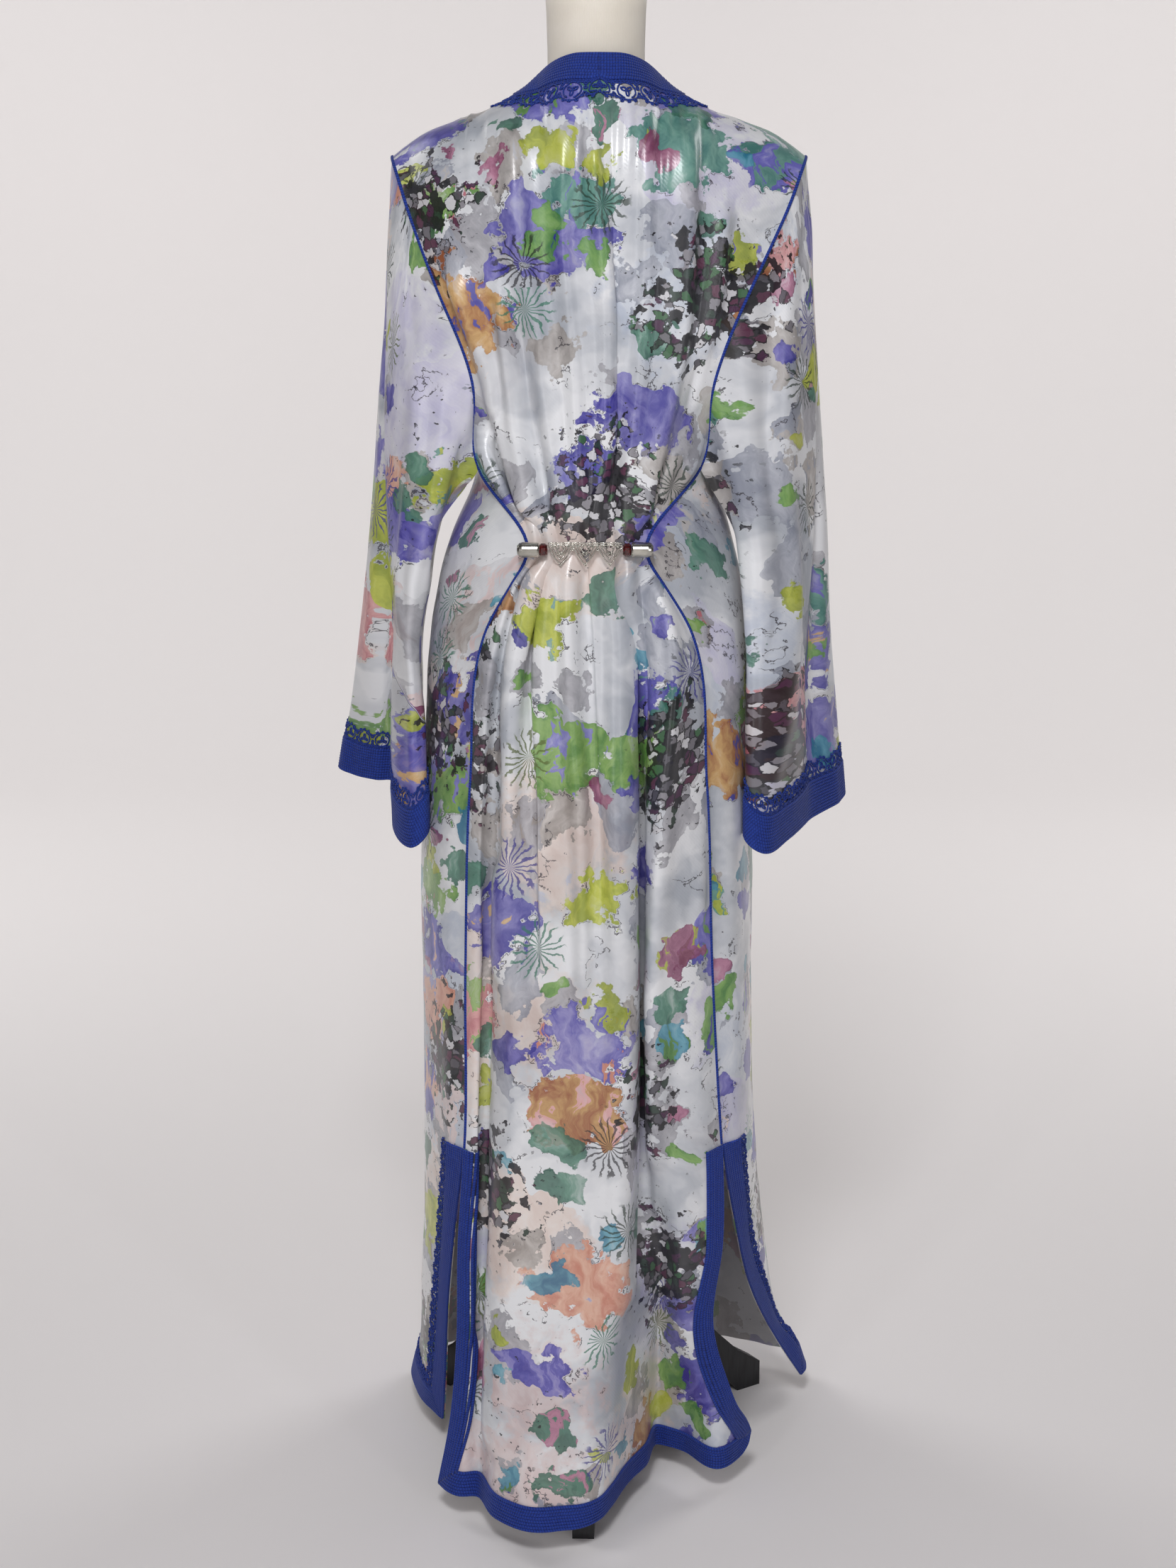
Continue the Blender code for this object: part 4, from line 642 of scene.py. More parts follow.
def satinPrint(tree, shift, paler=0):
    # colour of the printed satin at the cloth's own UV, in metres
    cloth = addNode(tree, "ShaderNodeUVMap", {"uv_map": "cloth"}).outputs["UV"]
    moved = addNode(tree, "ShaderNodeMapping", {"Location": (*shift, 0)}, {"Vector": cloth}).outputs[0]

    def wandering(start, size, reach, detail):
        centred = addNode(tree, "ShaderNodeVectorMath", {"operation": "SUBTRACT", 1: (.5, .5, .5)},
                          {0: noiseOf(tree, moved, size, detail, .55, "Color")}).outputs[0]
        scaled = addNode(tree, "ShaderNodeVectorMath", {"operation": "MULTIPLY", 1: (reach, reach, 0)},
                         {0: centred}).outputs[0]
        return addNode(tree, "ShaderNodeVectorMath", {"operation": "ADD"}, {0: start, 1: scaled}).outputs[0]

    place = wandering(moved, .055, .075, 3.0)
    fine = wandering(moved, .007, .009, 2.0)
    rough = noiseOf(tree, moved, .019, 4.0, .55)
    brushed = addNode(tree, "ShaderNodeMapping", {"Rotation": (0, 0, .5), "Scale": (1, .45, 1)},
                      {"Vector": place}).outputs[0]
    grain = noiseOf(tree, brushed, .024, 6.0, .6)
    colour = ramp(tree, noiseOf(tree, place, .11, 4.0), ((.38, "#b2b7bf"), (.56, "#ebecee")))
    for layer in printLayers:
        colour, inside = blotLayer(tree, colour, layer, place, rough, grain)
        if layer[0] != "boldBlot":
            continue
        # a broken pen line beside some of the blots
        line = smoothly(tree, maths(tree, "ABSOLUTE", maths(tree, "ADD", inside, .04)), .017, .006)
        broken = smoothly(tree, grain, .5, .53)
        colour = mixed(tree, maths(tree, "MULTIPLY", maths(tree, "MULTIPLY", line, broken), .85), colour,
                       "#332e38")
    colour = spikyFlowers(tree, colour, wandering(moved, .05, .012, 1.0), rough)
    colour, near = inkClusters(tree, colour, place, fine, rough, grain)
    speck = noiseOf(tree, moved, .0075, 3.0)
    spots = maths(tree, "MULTIPLY", smoothly(tree, speck, .66, .675), smoothly(tree, near, -1.1, .1))
    colour = mixed(tree, maths(tree, "MULTIPLY", spots, .9), colour, ink["line"])
    if paler:
        colour = mixed(tree, paler, colour, "#c9c8cc")
    return colour, cloth


def satinMaterial(name, shift, paler=0):
    # silk-like polyester satin, warp-faced: smooth floats give soft broad highlights
    material, tree, shader = newMaterial(name, Roughness=.30, Specular_IOR_Level=.7, Sheen_Weight=.04,
                                         Sheen_Roughness=.4)
    colour, cloth = satinPrint(tree, shift, paler)
    tree.links.new(colour, shader.inputs["Base Color"])
    ripple = addNode(tree, "ShaderNodeTexNoise", {"Scale": 60.0, "Detail": 4.0, "Roughness": .5},
                     {"Vector": addNode(tree, "ShaderNodeMapping", {"Scale": (1.0, .35, 1)},
                                        {"Vector": cloth}).outputs[0]}).outputs["Fac"]
    # 2 mm, coarser than the thread so that it shows
    weave = addNode(tree, "ShaderNodeTexWave", {"Scale": 160.0, "bands_direction": "DIAGONAL",
                                                "Distortion": 1.5}, {"Vector": cloth}).outputs["Fac"]
    height = maths(tree, "MULTIPLY_ADD", weave, .04, ripple)
    bump = addNode(tree, "ShaderNodeBump", {"Strength": .18, "Distance": .004}, {"Height": height})
    tree.links.new(bump.outputs[0], shader.inputs["Normal"])
    return material


def braidMaterial(name, light, deep, pitch):
    # viscose cord: matt, plaited in small slanting stitches. The deep colour is painted shade in the grooves
    # between the stitches, and the light colour is a painted highlight on their crests
    material, tree, shader = newMaterial(name, Roughness=.74, Specular_IOR_Level=.3, Sheen_Weight=.1,
                                         Sheen_Roughness=.5)
    plait = addNode(tree, "ShaderNodeAttribute", {"attribute_name": "plait"}).outputs["Vector"]
    parts = addNode(tree, "ShaderNodeSeparateXYZ", links={0: plait})
    slant = maths(tree, "MULTIPLY", maths(tree, "ABSOLUTE", parts.outputs[1]), .55)
    turn = maths(tree, "SINE", maths(tree, "MULTIPLY", maths(tree, "ADD", parts.outputs[0], slant),
                                     2 * math.pi / pitch))
    stitchReliefAndShade = addNode(tree, "ShaderNodeMapRange", {"From Min": -1.0, "From Max": .8},
                     {"Value": turn}).outputs[0]
    place = addNode(tree, "ShaderNodeTexCoord").outputs["Object"]
    worn = addNode(tree, "ShaderNodeTexNoise", {"Scale": 190.0, "Detail": 3.0},
                   {"Vector": place}).outputs["Fac"]
    # painted shade and highlight: the stitch pattern darkens the base colour in the grooves and lightens it
    # on the crests; the worn noise adds random tone to the yarn
    tone = maths(tree, "ADD", maths(tree, "MULTIPLY", stitchReliefAndShade, .6), maths(tree, "MULTIPLY", worn, .55),
                 clamp=True)
    tree.links.new(ramp(tree, tone, ((.1, deep), (.95, light))), shader.inputs["Base Color"])
    bump = addNode(tree, "ShaderNodeBump", {"Strength": .6, "Distance": .0006},
                   {"Height": maths(tree, "ADD", stitchReliefAndShade, maths(tree, "MULTIPLY", worn, .4))})
    tree.links.new(bump.outputs[0], shader.inputs["Normal"])
    return material


def jerseyMaterial():
    # cotton jersey stretched over a padded form: matt, with fine knit wales
    material, tree, shader = newMaterial("creamJersey", Roughness=.9, Specular_IOR_Level=.25,
                                         Sheen_Weight=.2)
    place = addNode(tree, "ShaderNodeTexCoord").outputs["Object"]
    wales = addNode(tree, "ShaderNodeTexWave", {"Scale": 190.0, "bands_direction": "X", "Distortion": 2.0,
                                                "Detail": 2.0}, {"Vector": place}).outputs["Fac"]
    soft = addNode(tree, "ShaderNodeTexNoise", {"Scale": 14.0, "Detail": 4.0},
                   {"Vector": place}).outputs["Fac"]
    tree.links.new(ramp(tree, soft, ((.3, "#e9e0d0"), (.7, "#f3ecdf"))), shader.inputs["Base Color"])
    bump = addNode(tree, "ShaderNodeBump", {"Strength": .25, "Distance": .0005}, {"Height": wales})
    tree.links.new(bump.outputs[0], shader.inputs["Normal"])
    return material


def paintedWood():
    # beech painted satin black: a little grain stands through the paint
    material, tree, shader = newMaterial("blackPaintedWood", Roughness=.42, Specular_IOR_Level=.5)
    place = addNode(tree, "ShaderNodeTexCoord").outputs["Object"]
    long = addNode(tree, "ShaderNodeMapping", {"Scale": (1, 1, .12)}, {"Vector": place}).outputs[0]
    grain = addNode(tree, "ShaderNodeTexNoise", {"Scale": 320.0, "Detail": 5.0},
                    {"Vector": long}).outputs["Fac"]
    tree.links.new(ramp(tree, grain, ((.3, "#0e0e10"), (.8, "#26262a"))), shader.inputs["Base Color"])
    bump = addNode(tree, "ShaderNodeBump", {"Strength": .2, "Distance": .0003}, {"Height": grain})
    tree.links.new(bump.outputs[0], shader.inputs["Normal"])
    return material


def castSilver():
    # silver-plated zinc casting: bright, with blotches of darker, rougher tarnish
    material, tree, shader = newMaterial("silverPlate", Metallic=1.0)
    place = addNode(tree, "ShaderNodeTexCoord").outputs["Object"]
    tarnish = addNode(tree, "ShaderNodeTexNoise", {"Scale": 70.0, "Detail": 3.0},
                      {"Vector": place}).outputs["Fac"]
    tree.links.new(ramp(tree, tarnish, ((.3, "#a5a39b"), (.65, "#cfccc2"))), shader.inputs["Base Color"])
    tree.links.new(addNode(tree, "ShaderNodeMapRange", {"To Min": .26, "To Max": .14},
                           {"Value": tarnish}).outputs[0], shader.inputs["Roughness"])
    return material


def redGlass():
    # pressed glass cabochon: deep red, wet gloss
    material, tree, shader = newMaterial("redPressedGlass", Roughness=.12, IOR=1.5, Coat_Weight=.5)
    place = addNode(tree, "ShaderNodeTexCoord").outputs["Object"]
    depth = addNode(tree, "ShaderNodeTexNoise", {"Scale": 420.0, "Detail": 2.0},
                    {"Vector": place}).outputs["Fac"]
    tree.links.new(ramp(tree, depth, ((.3, "#2c0a0c"), (.7, "#5e1517"))), shader.inputs["Base Color"])
    return material


satins = dict(
    back=(satinMaterial("satinBack", (0, 0)), satinMaterial("satinBackReverse", (0, 0), .55)),
    front=(satinMaterial("satinFront", (3.7, .4)), satinMaterial("satinFrontReverse", (3.7, .4), .55)),
    left=(satinMaterial("satinLeftSleeve", (5.1, 2.3)), satinMaterial("satinLeftReverse", (5.1, 2.3), .55)),
    right=(satinMaterial("satinRightSleeve", (9.4, 2.6)), satinMaterial("satinRightReverse", (9.4, 2.6),
                                                                        .55)),
)
# the light blue is a painted highlight on the stitch crests and the deep blue is painted shade between them
braidBlue = braidMaterial("cordedBraid", "#2341a0", "#10246c", .0028)
laceBlue = braidMaterial("crochetLace", "#2341a0", "#10246c", .0021)
jersey, wood, silver, redStone = jerseyMaterial(), paintedWood(), castSilver(), redGlass()
print("materials made")

# Cloth meshes

def addMesh(name, points, faces, materials, slots=None, cornerUv=None, sharp=60):
    mesh = bpy.data.meshes.new(name)
    faces = faces.tolist() if isinstance(faces, np.ndarray) else faces
    mesh.from_pydata(np.asarray(points).tolist(), [], faces)
    for material in materials:
        mesh.materials.append(material)
    if slots is not None:
        mesh.polygons.foreach_set("material_index", slots)
    if cornerUv is not None:
        mesh.uv_layers.new(name="cloth").data.foreach_set("uv", np.asarray(cornerUv, np.float32).ravel())
    mesh.polygons.foreach_set("use_smooth", [True] * len(mesh.polygons))
    mesh.set_sharp_from_angle(angle=math.radians(sharp))
    mesh.update()
    piece = bpy.data.objects.new(name, mesh)
    bpy.context.scene.collection.objects.link(piece)
    return piece


def clothUv(wide, middle):
    # metres along and down the cloth, from a middle column
    along = np.zeros(wide.shape[:2])
    along[:, 1:] = np.cumsum(np.linalg.norm(np.diff(wide, axis=1), axis=2), axis=1)
    along -= along[:, middle : middle + 1]
    down = np.zeros(len(wide))
    down[1:] = np.cumsum(np.linalg.norm(np.diff(wide, axis=0), axis=2).mean(axis=1))
    return np.stack([along, np.broadcast_to(-down[:, None], along.shape)], axis=-1)


def sleeveUv(grid, middle):
    # the turn round the sleeve's middle line, at one radius, and the height, so that the print hangs
    # straight
    wide = np.concatenate([grid, grid[:, :1]], axis=1)
    centres = grid[len(grid) // 2 :].mean(axis=1)
    middleX, middleY = (np.polyval(np.polyfit(centres[:, 2], centres[:, k], 1), wide[..., 2]) for k in (0,
                                                                                                        1))
    turns = np.unwrap(np.arctan2(wide[..., 1] - middleY, wide[..., 0] - middleX), axis=1)
    turns -= 2 * np.pi * np.round(turns[:, middle : middle + 1] / (2 * np.pi))
    return np.stack([turns * sleeve["printRadius"], wide[..., 2]], axis=-1)


def addSheet(name, grid, out, materials, closed=False, middle=0):
    # a cloth of real thickness: outer face, inner face and the rim between them
    rows, cols = grid.shape[:2]
    uv = sleeveUv(grid, middle) if closed else clothUv(grid, middle)
    index = np.arange(rows * cols).reshape(rows, cols)
    after = np.roll(index, -1, axis=1) if closed else index[:, 1:]
    here = index if closed else index[:, :-1]
    quads = np.stack([here[:-1], after[:-1], after[1:], here[1:]], axis=-1).reshape(-1, 4)
    uvs = np.stack([uv[:-1, :-1], uv[:-1, 1:], uv[1:, 1:], uv[1:, :-1]], axis=2).reshape(-1, 4, 2)
    flat, outer = grid.reshape(-1, 3), (grid + out * body["cloth"]).reshape(-1, 3)
    a, b, c = (outer[quads[:, k]] for k in (0, 1, 2))
    if (np.cross(b - a, c - a) * out.reshape(-1, 3)[quads[:, 0]]).sum() < 0:
        quads, uvs = quads[:, ::-1], uvs[:, ::-1]
    count = rows * cols
    inner = quads[:, ::-1] + count
    edges = {}
    for quad, corner in zip(quads.tolist(), uvs.tolist()):
        for k in range(4):
            edges[quad[k], quad[(k + 1) % 4]] = (corner[k], corner[(k + 1) % 4])
    rim = [(a, b, ab) for (a, b), ab in edges.items() if (b, a) not in edges]
    rimQuads = np.array([(b, a, a + count, b + count) for a, b, _ in rim])
    rimUv = np.array([(q, p, p, q) for _, _, (p, q) in rim])
    faces = np.concatenate([quads, inner, rimQuads])
    corners = np.concatenate([uvs, uvs[:, ::-1], rimUv])
    slots = np.concatenate([np.zeros(len(quads), int), np.ones(len(inner), int),
                            np.zeros(len(rimQuads), int)])
    return addMesh(name, np.concatenate([outer, flat]), faces, materials, slots.tolist(), corners)


sheets = dict(
    back=addSheet("backPanel", backGrid, backOut, satins["back"], middle=84),
    front=addSheet("frontPanel", frontGrid, frontOut, satins["front"], middle=75),
)
for name, grid in sleeveGrids.items():
    turn = grid.shape[1] // 2  # the UV seam lies under the arm
    sheets[name] = addSheet(name + "Sleeve", np.roll(grid, -turn, axis=1),
                            np.roll(sleeveOuts[name], -turn, axis=1), satins[name], True, turn)
print("cloth made")

# Trims lie on strips: rings or paths over the cloth at rising distances from an edge

def along(points):
    return np.concatenate([[0], np.cumsum(np.linalg.norm(np.diff(points, axis=0), axis=1))])


def between(array, at):
    # values of a list of rows at fractional places
    low = np.clip(np.floor(at).astype(int), 0, len(array) - 2)
    share = (np.asarray(at) - low).reshape((-1,) + (1,) * (array.ndim - 1))
    return array[low] * (1 - share) + array[low + 1] * share


def edgeStrip(grid, out, distances):
    # down the left slit, along the hem and up the right slit
    low, lowOut = grid[slitRow:], out[slitRow:]
    down = along(low[:, low.shape[1] // 2])
    lines, normals = [], []
    for distance in distances:
        last = np.interp(down[-1] - distance, down, range(len(down)))
        line, normal = [], []
        for rows, share in ((np.linspace(.2, last, 96), 0), ([last] * 150, None),
                            (np.linspace(last, .2, 96), 1)):
            points, turned = between(low, rows), between(lowOut, rows)
            if share is None:
                lengths = along(points[0])
                places = np.linspace(distance, lengths[-1] - distance, 150)
                line.extend(np.stack([np.interp(places, lengths, points[0][:, k]) for k in range(3)],
                                     axis=-1))
                normal.extend(np.stack([np.interp(places, lengths, turned[0][:, k]) for k in range(3)],
                                       axis=-1))
                continue
            for point, turn in zip(points, turned):
                lengths = along(point)
                place = distance if share == 0 else lengths[-1] - distance
                line.append([np.interp(place, lengths, point[:, k]) for k in range(3)])
                normal.append([np.interp(place, lengths, turn[:, k]) for k in range(3)])
        lines.append(line)
        normals.append(normal)
    return np.array(lines), unit(np.array(normals))


def cuffStrip(grid, out, distances):
    lines, normals = [], []
    reach = np.linalg.norm(np.diff(grid[-24:], axis=0), axis=2)[::-1].cumsum(axis=0)
    reach = np.concatenate([np.zeros((1, grid.shape[1])), reach])
    for distance in distances:
        rows = len(grid) - 1 - np.array([np.interp(distance, reach[:, k],
                                                   range(24)) for k in range(grid.shape[1])])
        low = np.floor(rows).astype(int).clip(0, len(grid) - 2)
        share, column = (rows - low)[:, None], np.arange(grid.shape[1])
        lines.append(grid[low, column] * (1 - share) + grid[low + 1, column] * share)
        normals.append(out[low, column] * (1 - share) + out[low + 1, column] * share)
    return np.array(lines), unit(np.array(normals))


def neckline(count, weight):
    # points (x, wrap) round the neckline from the middle of the back, closer together where it turns
    side = np.linspace(0, body["neckHalf"], 80)
    half = np.array([(x, -.002) for x in side] + [(x, necklineWrap(x)) for x in side[-2::-1]])
    loop = np.concatenate([half, half[-2:0:-1] * (-1, 1)])
    points = shoulderPoint(loop[:, 0], loop[:, 1])
    legs = np.roll(points, -1, axis=0) - points
    turns = np.arccos(np.clip((unit(legs) * unit(np.roll(legs, 1, axis=0))).sum(axis=1), -1, 1))
    lengths = np.concatenate([[0], np.cumsum(np.linalg.norm(legs,
                                                            axis=1) + (turns + np.roll(turns,
                                                                                       -1)) / 2 * weight)])
    closed = np.concatenate([loop, loop[:1]])
    at = np.arange(count) * lengths[-1] / count
    return np.stack([np.interp(at, lengths, closed[:, k]) for k in (0, 1)], axis=-1)


def surfaceSlopes(place, small=.001):
    x, wrap = place.T
    return ((shoulderPoint(x + small, wrap) - shoulderPoint(x - small, wrap)) / (2 * small),
            (shoulderPoint(x, wrap + small) - shoulderPoint(x, wrap - small)) / (2 * small))


def neckStrip(distances, count=300):
    place, lines, normals, reached = neckline(count, .033), [], [], 0
    for distance in distances:
        for _ in range(max(1, round((distance - reached) / .0028))):
            step = (distance - reached) / max(1, round((distance - reached) / .0028))
            points = shoulderPoint(*place.T)
            around = unit(np.roll(points, -1, axis=0) - np.roll(points, 1, axis=0))
            overX, overWrap = surfaceSlopes(place)
            outward = np.cross(around, unit(np.cross(overX, overWrap))) * step
            a, b, c = (overX**2).sum(axis=1), (overX * overWrap).sum(axis=1), (overWrap**2).sum(axis=1)
            p, q = (overX * outward).sum(axis=1), (overWrap * outward).sum(axis=1)
            place = place + np.stack([p * c - q * b, q * a - p * b], axis=-1) / (a * c - b * b)[:, None]
        reached = distance
        overX, overWrap = surfaceSlopes(place)
        lines.append(shoulderPoint(*place.T))
        normals.append(unit(np.cross(overX, overWrap)))
    lines, normals = np.array(lines), np.array(normals)
    for _ in range(6):
        for values in (lines, normals):
            values += .25 * (np.roll(values, 1, axis=1) + np.roll(values, -1, axis=1) - 2 * values)
    return seated(lines, unit(normals))


def seated(lines, normals):
    # moves points along their normals onto the drawn cloth, where it lies near
    trees = [BVHTree.FromObject(sheets[name], bpy.context.evaluated_depsgraph_get()) for name in ("back",
                                                                                                  "front")]
    offsets = np.full(lines.shape[:2], np.nan)
    for at in np.ndindex(lines.shape[:2]):
        for tree in trees:
            start = lines[at] + normals[at] * .008
            hit = tree.ray_cast(Vector(start), Vector(-normals[at]), .014)
            if hit[0] is not None:
                offsets[at] = np.nanmax([offsets[at], .008 - hit[3]])
    known = np.isfinite(offsets)
    offsets = np.where(known, offsets, offsets[known].mean())
    for _ in range(8):
        around = (np.roll(offsets, 1, axis=1) + np.roll(offsets, -1, axis=1)) / 2
        offsets = np.maximum(offsets, .5 * offsets + .5 * around)
    return lines + normals * (offsets - body["cloth"])[..., None], normals


def tubeTree():
    # tubes along every edge of a mesh, with their length and turn kept for the plait's pattern
    tree = bpy.data.node_groups.new("tubesAlongEdges", "GeometryNodeTree")
    sockets = (
        # name, direction, kind, value
        ("Geometry", "INPUT", "Geometry", None), ("Radius", "INPUT", "Float", .001),
        ("Sides", "INPUT", "Int", 7), ("Wobble", "INPUT", "Float", .05), ("Seed", "INPUT", "Int", 0),
        ("Material", "INPUT", "Material", None), ("Geometry", "OUTPUT", "Geometry", None),
    )
    for name, direction, kind, value in sockets:
        socket = tree.interface.new_socket(name=name, in_out=direction, socket_type="NodeSocket" + kind)
        if value is not None:
            socket.default_value = value
    given = tree.nodes.new("NodeGroupInput").outputs
    curve = addNode(tree, "GeometryNodeMeshToCurve", links={0: given["Geometry"]}).outputs[0]
    length = addNode(tree, "GeometryNodeSplineParameter").outputs["Length"]
    kept = tree.nodes.new("GeometryNodeCaptureAttribute")
    kept.capture_items.new("FLOAT", "length")
    tree.links.new(curve, kept.inputs[0])
    tree.links.new(length, kept.inputs[1])
    noise = addNode(tree, "ShaderNodeTexNoise", {"noise_dimensions": "4D", "Scale": 420.0, "Detail": 1.0},
                    {"W": given["Seed"]}).outputs["Fac"]
    swell = maths(tree, "MULTIPLY_ADD", maths(tree, "SUBTRACT", noise, .5), given["Wobble"], 1.0)
    sized = addNode(tree, "GeometryNodeSetCurveRadius", links={"Curve": kept.outputs[0],
                                                               "Radius": swell}).outputs[0]
    circle = addNode(tree, "GeometryNodeCurvePrimitiveCircle",
                     links={"Resolution": given["Sides"], "Radius": given["Radius"]}).outputs[0]
    turn = tree.nodes.new("GeometryNodeCaptureAttribute")
    turn.capture_items.new("FLOAT", "turn")
    tree.links.new(circle, turn.inputs[0])
    place = addNode(tree, "GeometryNodeInputPosition").outputs[0]
    parts = addNode(tree, "ShaderNodeSeparateXYZ", links={0: place})
    tree.links.new(parts.outputs[0], turn.inputs[1])
    tube = addNode(tree, "GeometryNodeCurveToMesh", {"Fill Caps": True},
                   {"Curve": sized, "Profile Curve": turn.outputs[0]})
    scaleLink = tube.inputs.get("Scale")
    if scaleLink is not None:
        tree.links.new(swell, scaleLink)
    pair = addNode(tree, "ShaderNodeCombineXYZ", links={0: kept.outputs[1], 1: turn.outputs[1]}).outputs[0]
    named = addNode(tree, "GeometryNodeStoreNamedAttribute",
                    {"data_type": "FLOAT_VECTOR", "domain": "POINT", "Name": "plait"},
                    {"Geometry": tube.outputs[0], "Value": pair}).outputs[0]
    smooth = addNode(tree, "GeometryNodeSetShadeSmooth", links={0: named}).outputs[0]
    real = addNode(tree, "GeometryNodeRealizeInstances", links={0: smooth}).outputs[0]
    done = addNode(tree, "GeometryNodeSetMaterial", links={0: real,
                                                           "Material": given["Material"]}).outputs[0]
    tree.links.new(done, tree.nodes.new("NodeGroupOutput").inputs[0])
    return tree


tubes = tubeTree()


def addTubes(name, strokes, radius, material, sides=7, wobble=.12, seed=0):
    # strokes: (points, closed) pairs
    points, edges = [], []
    for path, closed in strokes:
        first = len(points)
        points.extend(np.asarray(path).tolist())
        edges.extend((i, i + 1) for i in range(first, len(points) - 1))
        if closed:
            edges.append((len(points) - 1, first))
    mesh = bpy.data.meshes.new(name + "Paths")
    mesh.from_pydata(points, edges, [])
    paths = bpy.data.objects.new(name + "Paths", mesh)
    bpy.context.scene.collection.objects.link(paths)
    modifier = paths.modifiers.new("tubes", "NODES")
    modifier.node_group = tubes
    values = dict(Radius=radius, Sides=sides, Wobble=wobble, Seed=seed, Material=material)
    for item in tubes.interface.items_tree:
        if item.in_out == "INPUT" and item.name in values:
            modifier[item.identifier] = values[item.name]
    graph = bpy.context.evaluated_depsgraph_get()
    made = bpy.data.meshes.new_from_object(paths.evaluated_get(graph), preserve_all_data_layers=True,
                                           depsgraph=graph)
    bpy.data.objects.remove(paths)
    made.name = name
    piece = bpy.data.objects.new(name, made)
    bpy.context.scene.collection.objects.link(piece)
    return piece


braid = dict(squeeze=1.12, sink=.62, seed=5)


def braidCords(strip, distances, first, last, cords, closed):
    # cord rows side by side between two distances
    lines, normals = strip
    pitch = (last - first) / cords
    radius = pitch / 2 * braid["squeeze"]
    strokes = []
    for k in range(cords):
        at = np.interp(first + (k + .5) * pitch, distances, range(len(distances)))
        line, normal = between(lines, [at])[0], unit(between(normals, [at])[0])
        strokes.append((line + normal * (body["cloth"] + radius * braid["sink"]), closed))
    return strokes, radius


def arc(middle, radius, start, end, count, wide=1):
    angles = np.radians(np.linspace(start, end, count))
    return np.stack([middle[0] + radius * wide * np.cos(angles), middle[1] + radius * np.sin(angles)],
                    axis=-1)


# Lace in strip coordinates: x along from a motif's middle, y across from 0 at the braid to 1 at the tips,
# in lace widths
laceMotif = dict(
    ring=(.0, .47, .36), petals=3, petalLong=.25, petalWide=.06,
    junctions=((.15, .075), (.35, .06)), scallop=.46, picots=5, picotSize=.05,
)


def laceStrokes(pitch, width):
    # one motif's strokes: an open ring round three petals, junction dots beside it, a scallop with picots
    # below
    motif, strokes = laceMotif, []
    x, y, size = motif["ring"]
    strokes.append((arc((x, y), size, -250, 70, 24), False))
    for k in range(motif["petals"]):
        turn = math.radians(90 + 120 * k)
        angles = np.linspace(0, 2 * np.pi, 11)[:-1]
        long, across = motif["petalLong"] / 2 * (1 - np.cos(angles)), motif["petalWide"] * np.sin(angles)
        petal = np.stack([x + long * math.cos(turn) - across * math.sin(turn),
                          y + long * math.sin(turn) + across * math.cos(turn)], axis=-1)
        strokes.append((petal, True))
    half = pitch / width / 2
    for level, radius in motif["junctions"]:
        strokes.append((arc((half, level), radius, 0, 330, 9), True))
    scallop = arc((0, motif["scallop"]), half * .98, 168, 12, 15)
    scallop[:, 1] = motif["scallop"] + (scallop[:, 1] - motif["scallop"]) * .92
    strokes.append((scallop, False))
    for k in range(motif["picots"]):
        angle = math.radians(150 - 120 * k / (motif["picots"] - 1))
        tip = (half * .98 * math.cos(angle),
               motif["scallop"] + half * math.sin(angle) * .92 + motif["picotSize"] * .8)
        strokes.append((arc(tip, motif["picotSize"], 0, 300, 7), True))
    return strokes


def laceOn(strip, distances, first, last, pitch, closed, seed):
    lines, normals = strip
    width = last - first
    header = between(lines, [np.interp(first, distances, range(len(distances)))])[0]
    middle = between(lines, [np.interp((first + last) / 2, distances, range(len(distances)))])[0]
    wide = np.concatenate([middle, middle[:1]]) if closed else middle
    lengths = along(wide)
    count = max(3, round(lengths[-1] / pitch))
    pitch = lengths[-1] / count
    dice = np.random.default_rng(seed)
    motif = laceStrokes(pitch, width)
    columns = lines.shape[1]

    def place(flat):
        s, t = flat.T
        s = s % lengths[-1] if closed else np.clip(s, 0, lengths[-1])
        column = np.interp(s, lengths, range(len(lengths)))
        row = np.interp(first + t * width, distances, range(len(distances)))
        r, c = np.floor(row).astype(int).clip(0, len(distances) - 2), np.floor(column).astype(int)
        c = c if closed else c.clip(0, columns - 2)
        u, v = (row - r)[:, None], (column - c)[:, None]
        c0, c1 = c % columns, (c + 1) % columns
        point, normal = (
            (a[r, c0] * (1 - u) + a[r + 1, c0] * u) * (1 - v) + (a[r, c1] * (1 - u) + a[r + 1, c1] * u) * v
            for a in (lines, normals)
        )
        return point + unit(normal) * (body["cloth"] + .0009 + .0006 * np.sin(s * 2600 + t * 9))[:, None]

    strokes = []
    for k in range(count):
        start = (k + .5) * pitch
        lean = dice.uniform(-.03, .03)
        for shape, loop in motif:
            flat = np.stack([start + (shape[:, 0] + lean * (shape[:, 1] - .5)) * width,
                             shape[:, 1] * (1 + dice.uniform(-.015, .015))], axis=-1)
            strokes.append((place(flat), loop))
    for level in (.03, .11):
        s = np.linspace(0, lengths[-1], columns * 2, endpoint=not closed)
        strokes.append((place(np.stack([s, np.full(len(s), level)], axis=-1)), closed))
    return strokes


trimSpecs = dict(
    neck=dict(braid=(.0, .033, 9), lace=(.0335, .0588, .0262), closed=True, radius=.0009),
    hem=dict(braid=(.0, .027, 8), lace=(.0275, .047, .0205), closed=False, radius=.00078),
    cuff=dict(braid=(.0, .040, 12), lace=(.0405, .061, .0212), closed=True, radius=.0008),
)


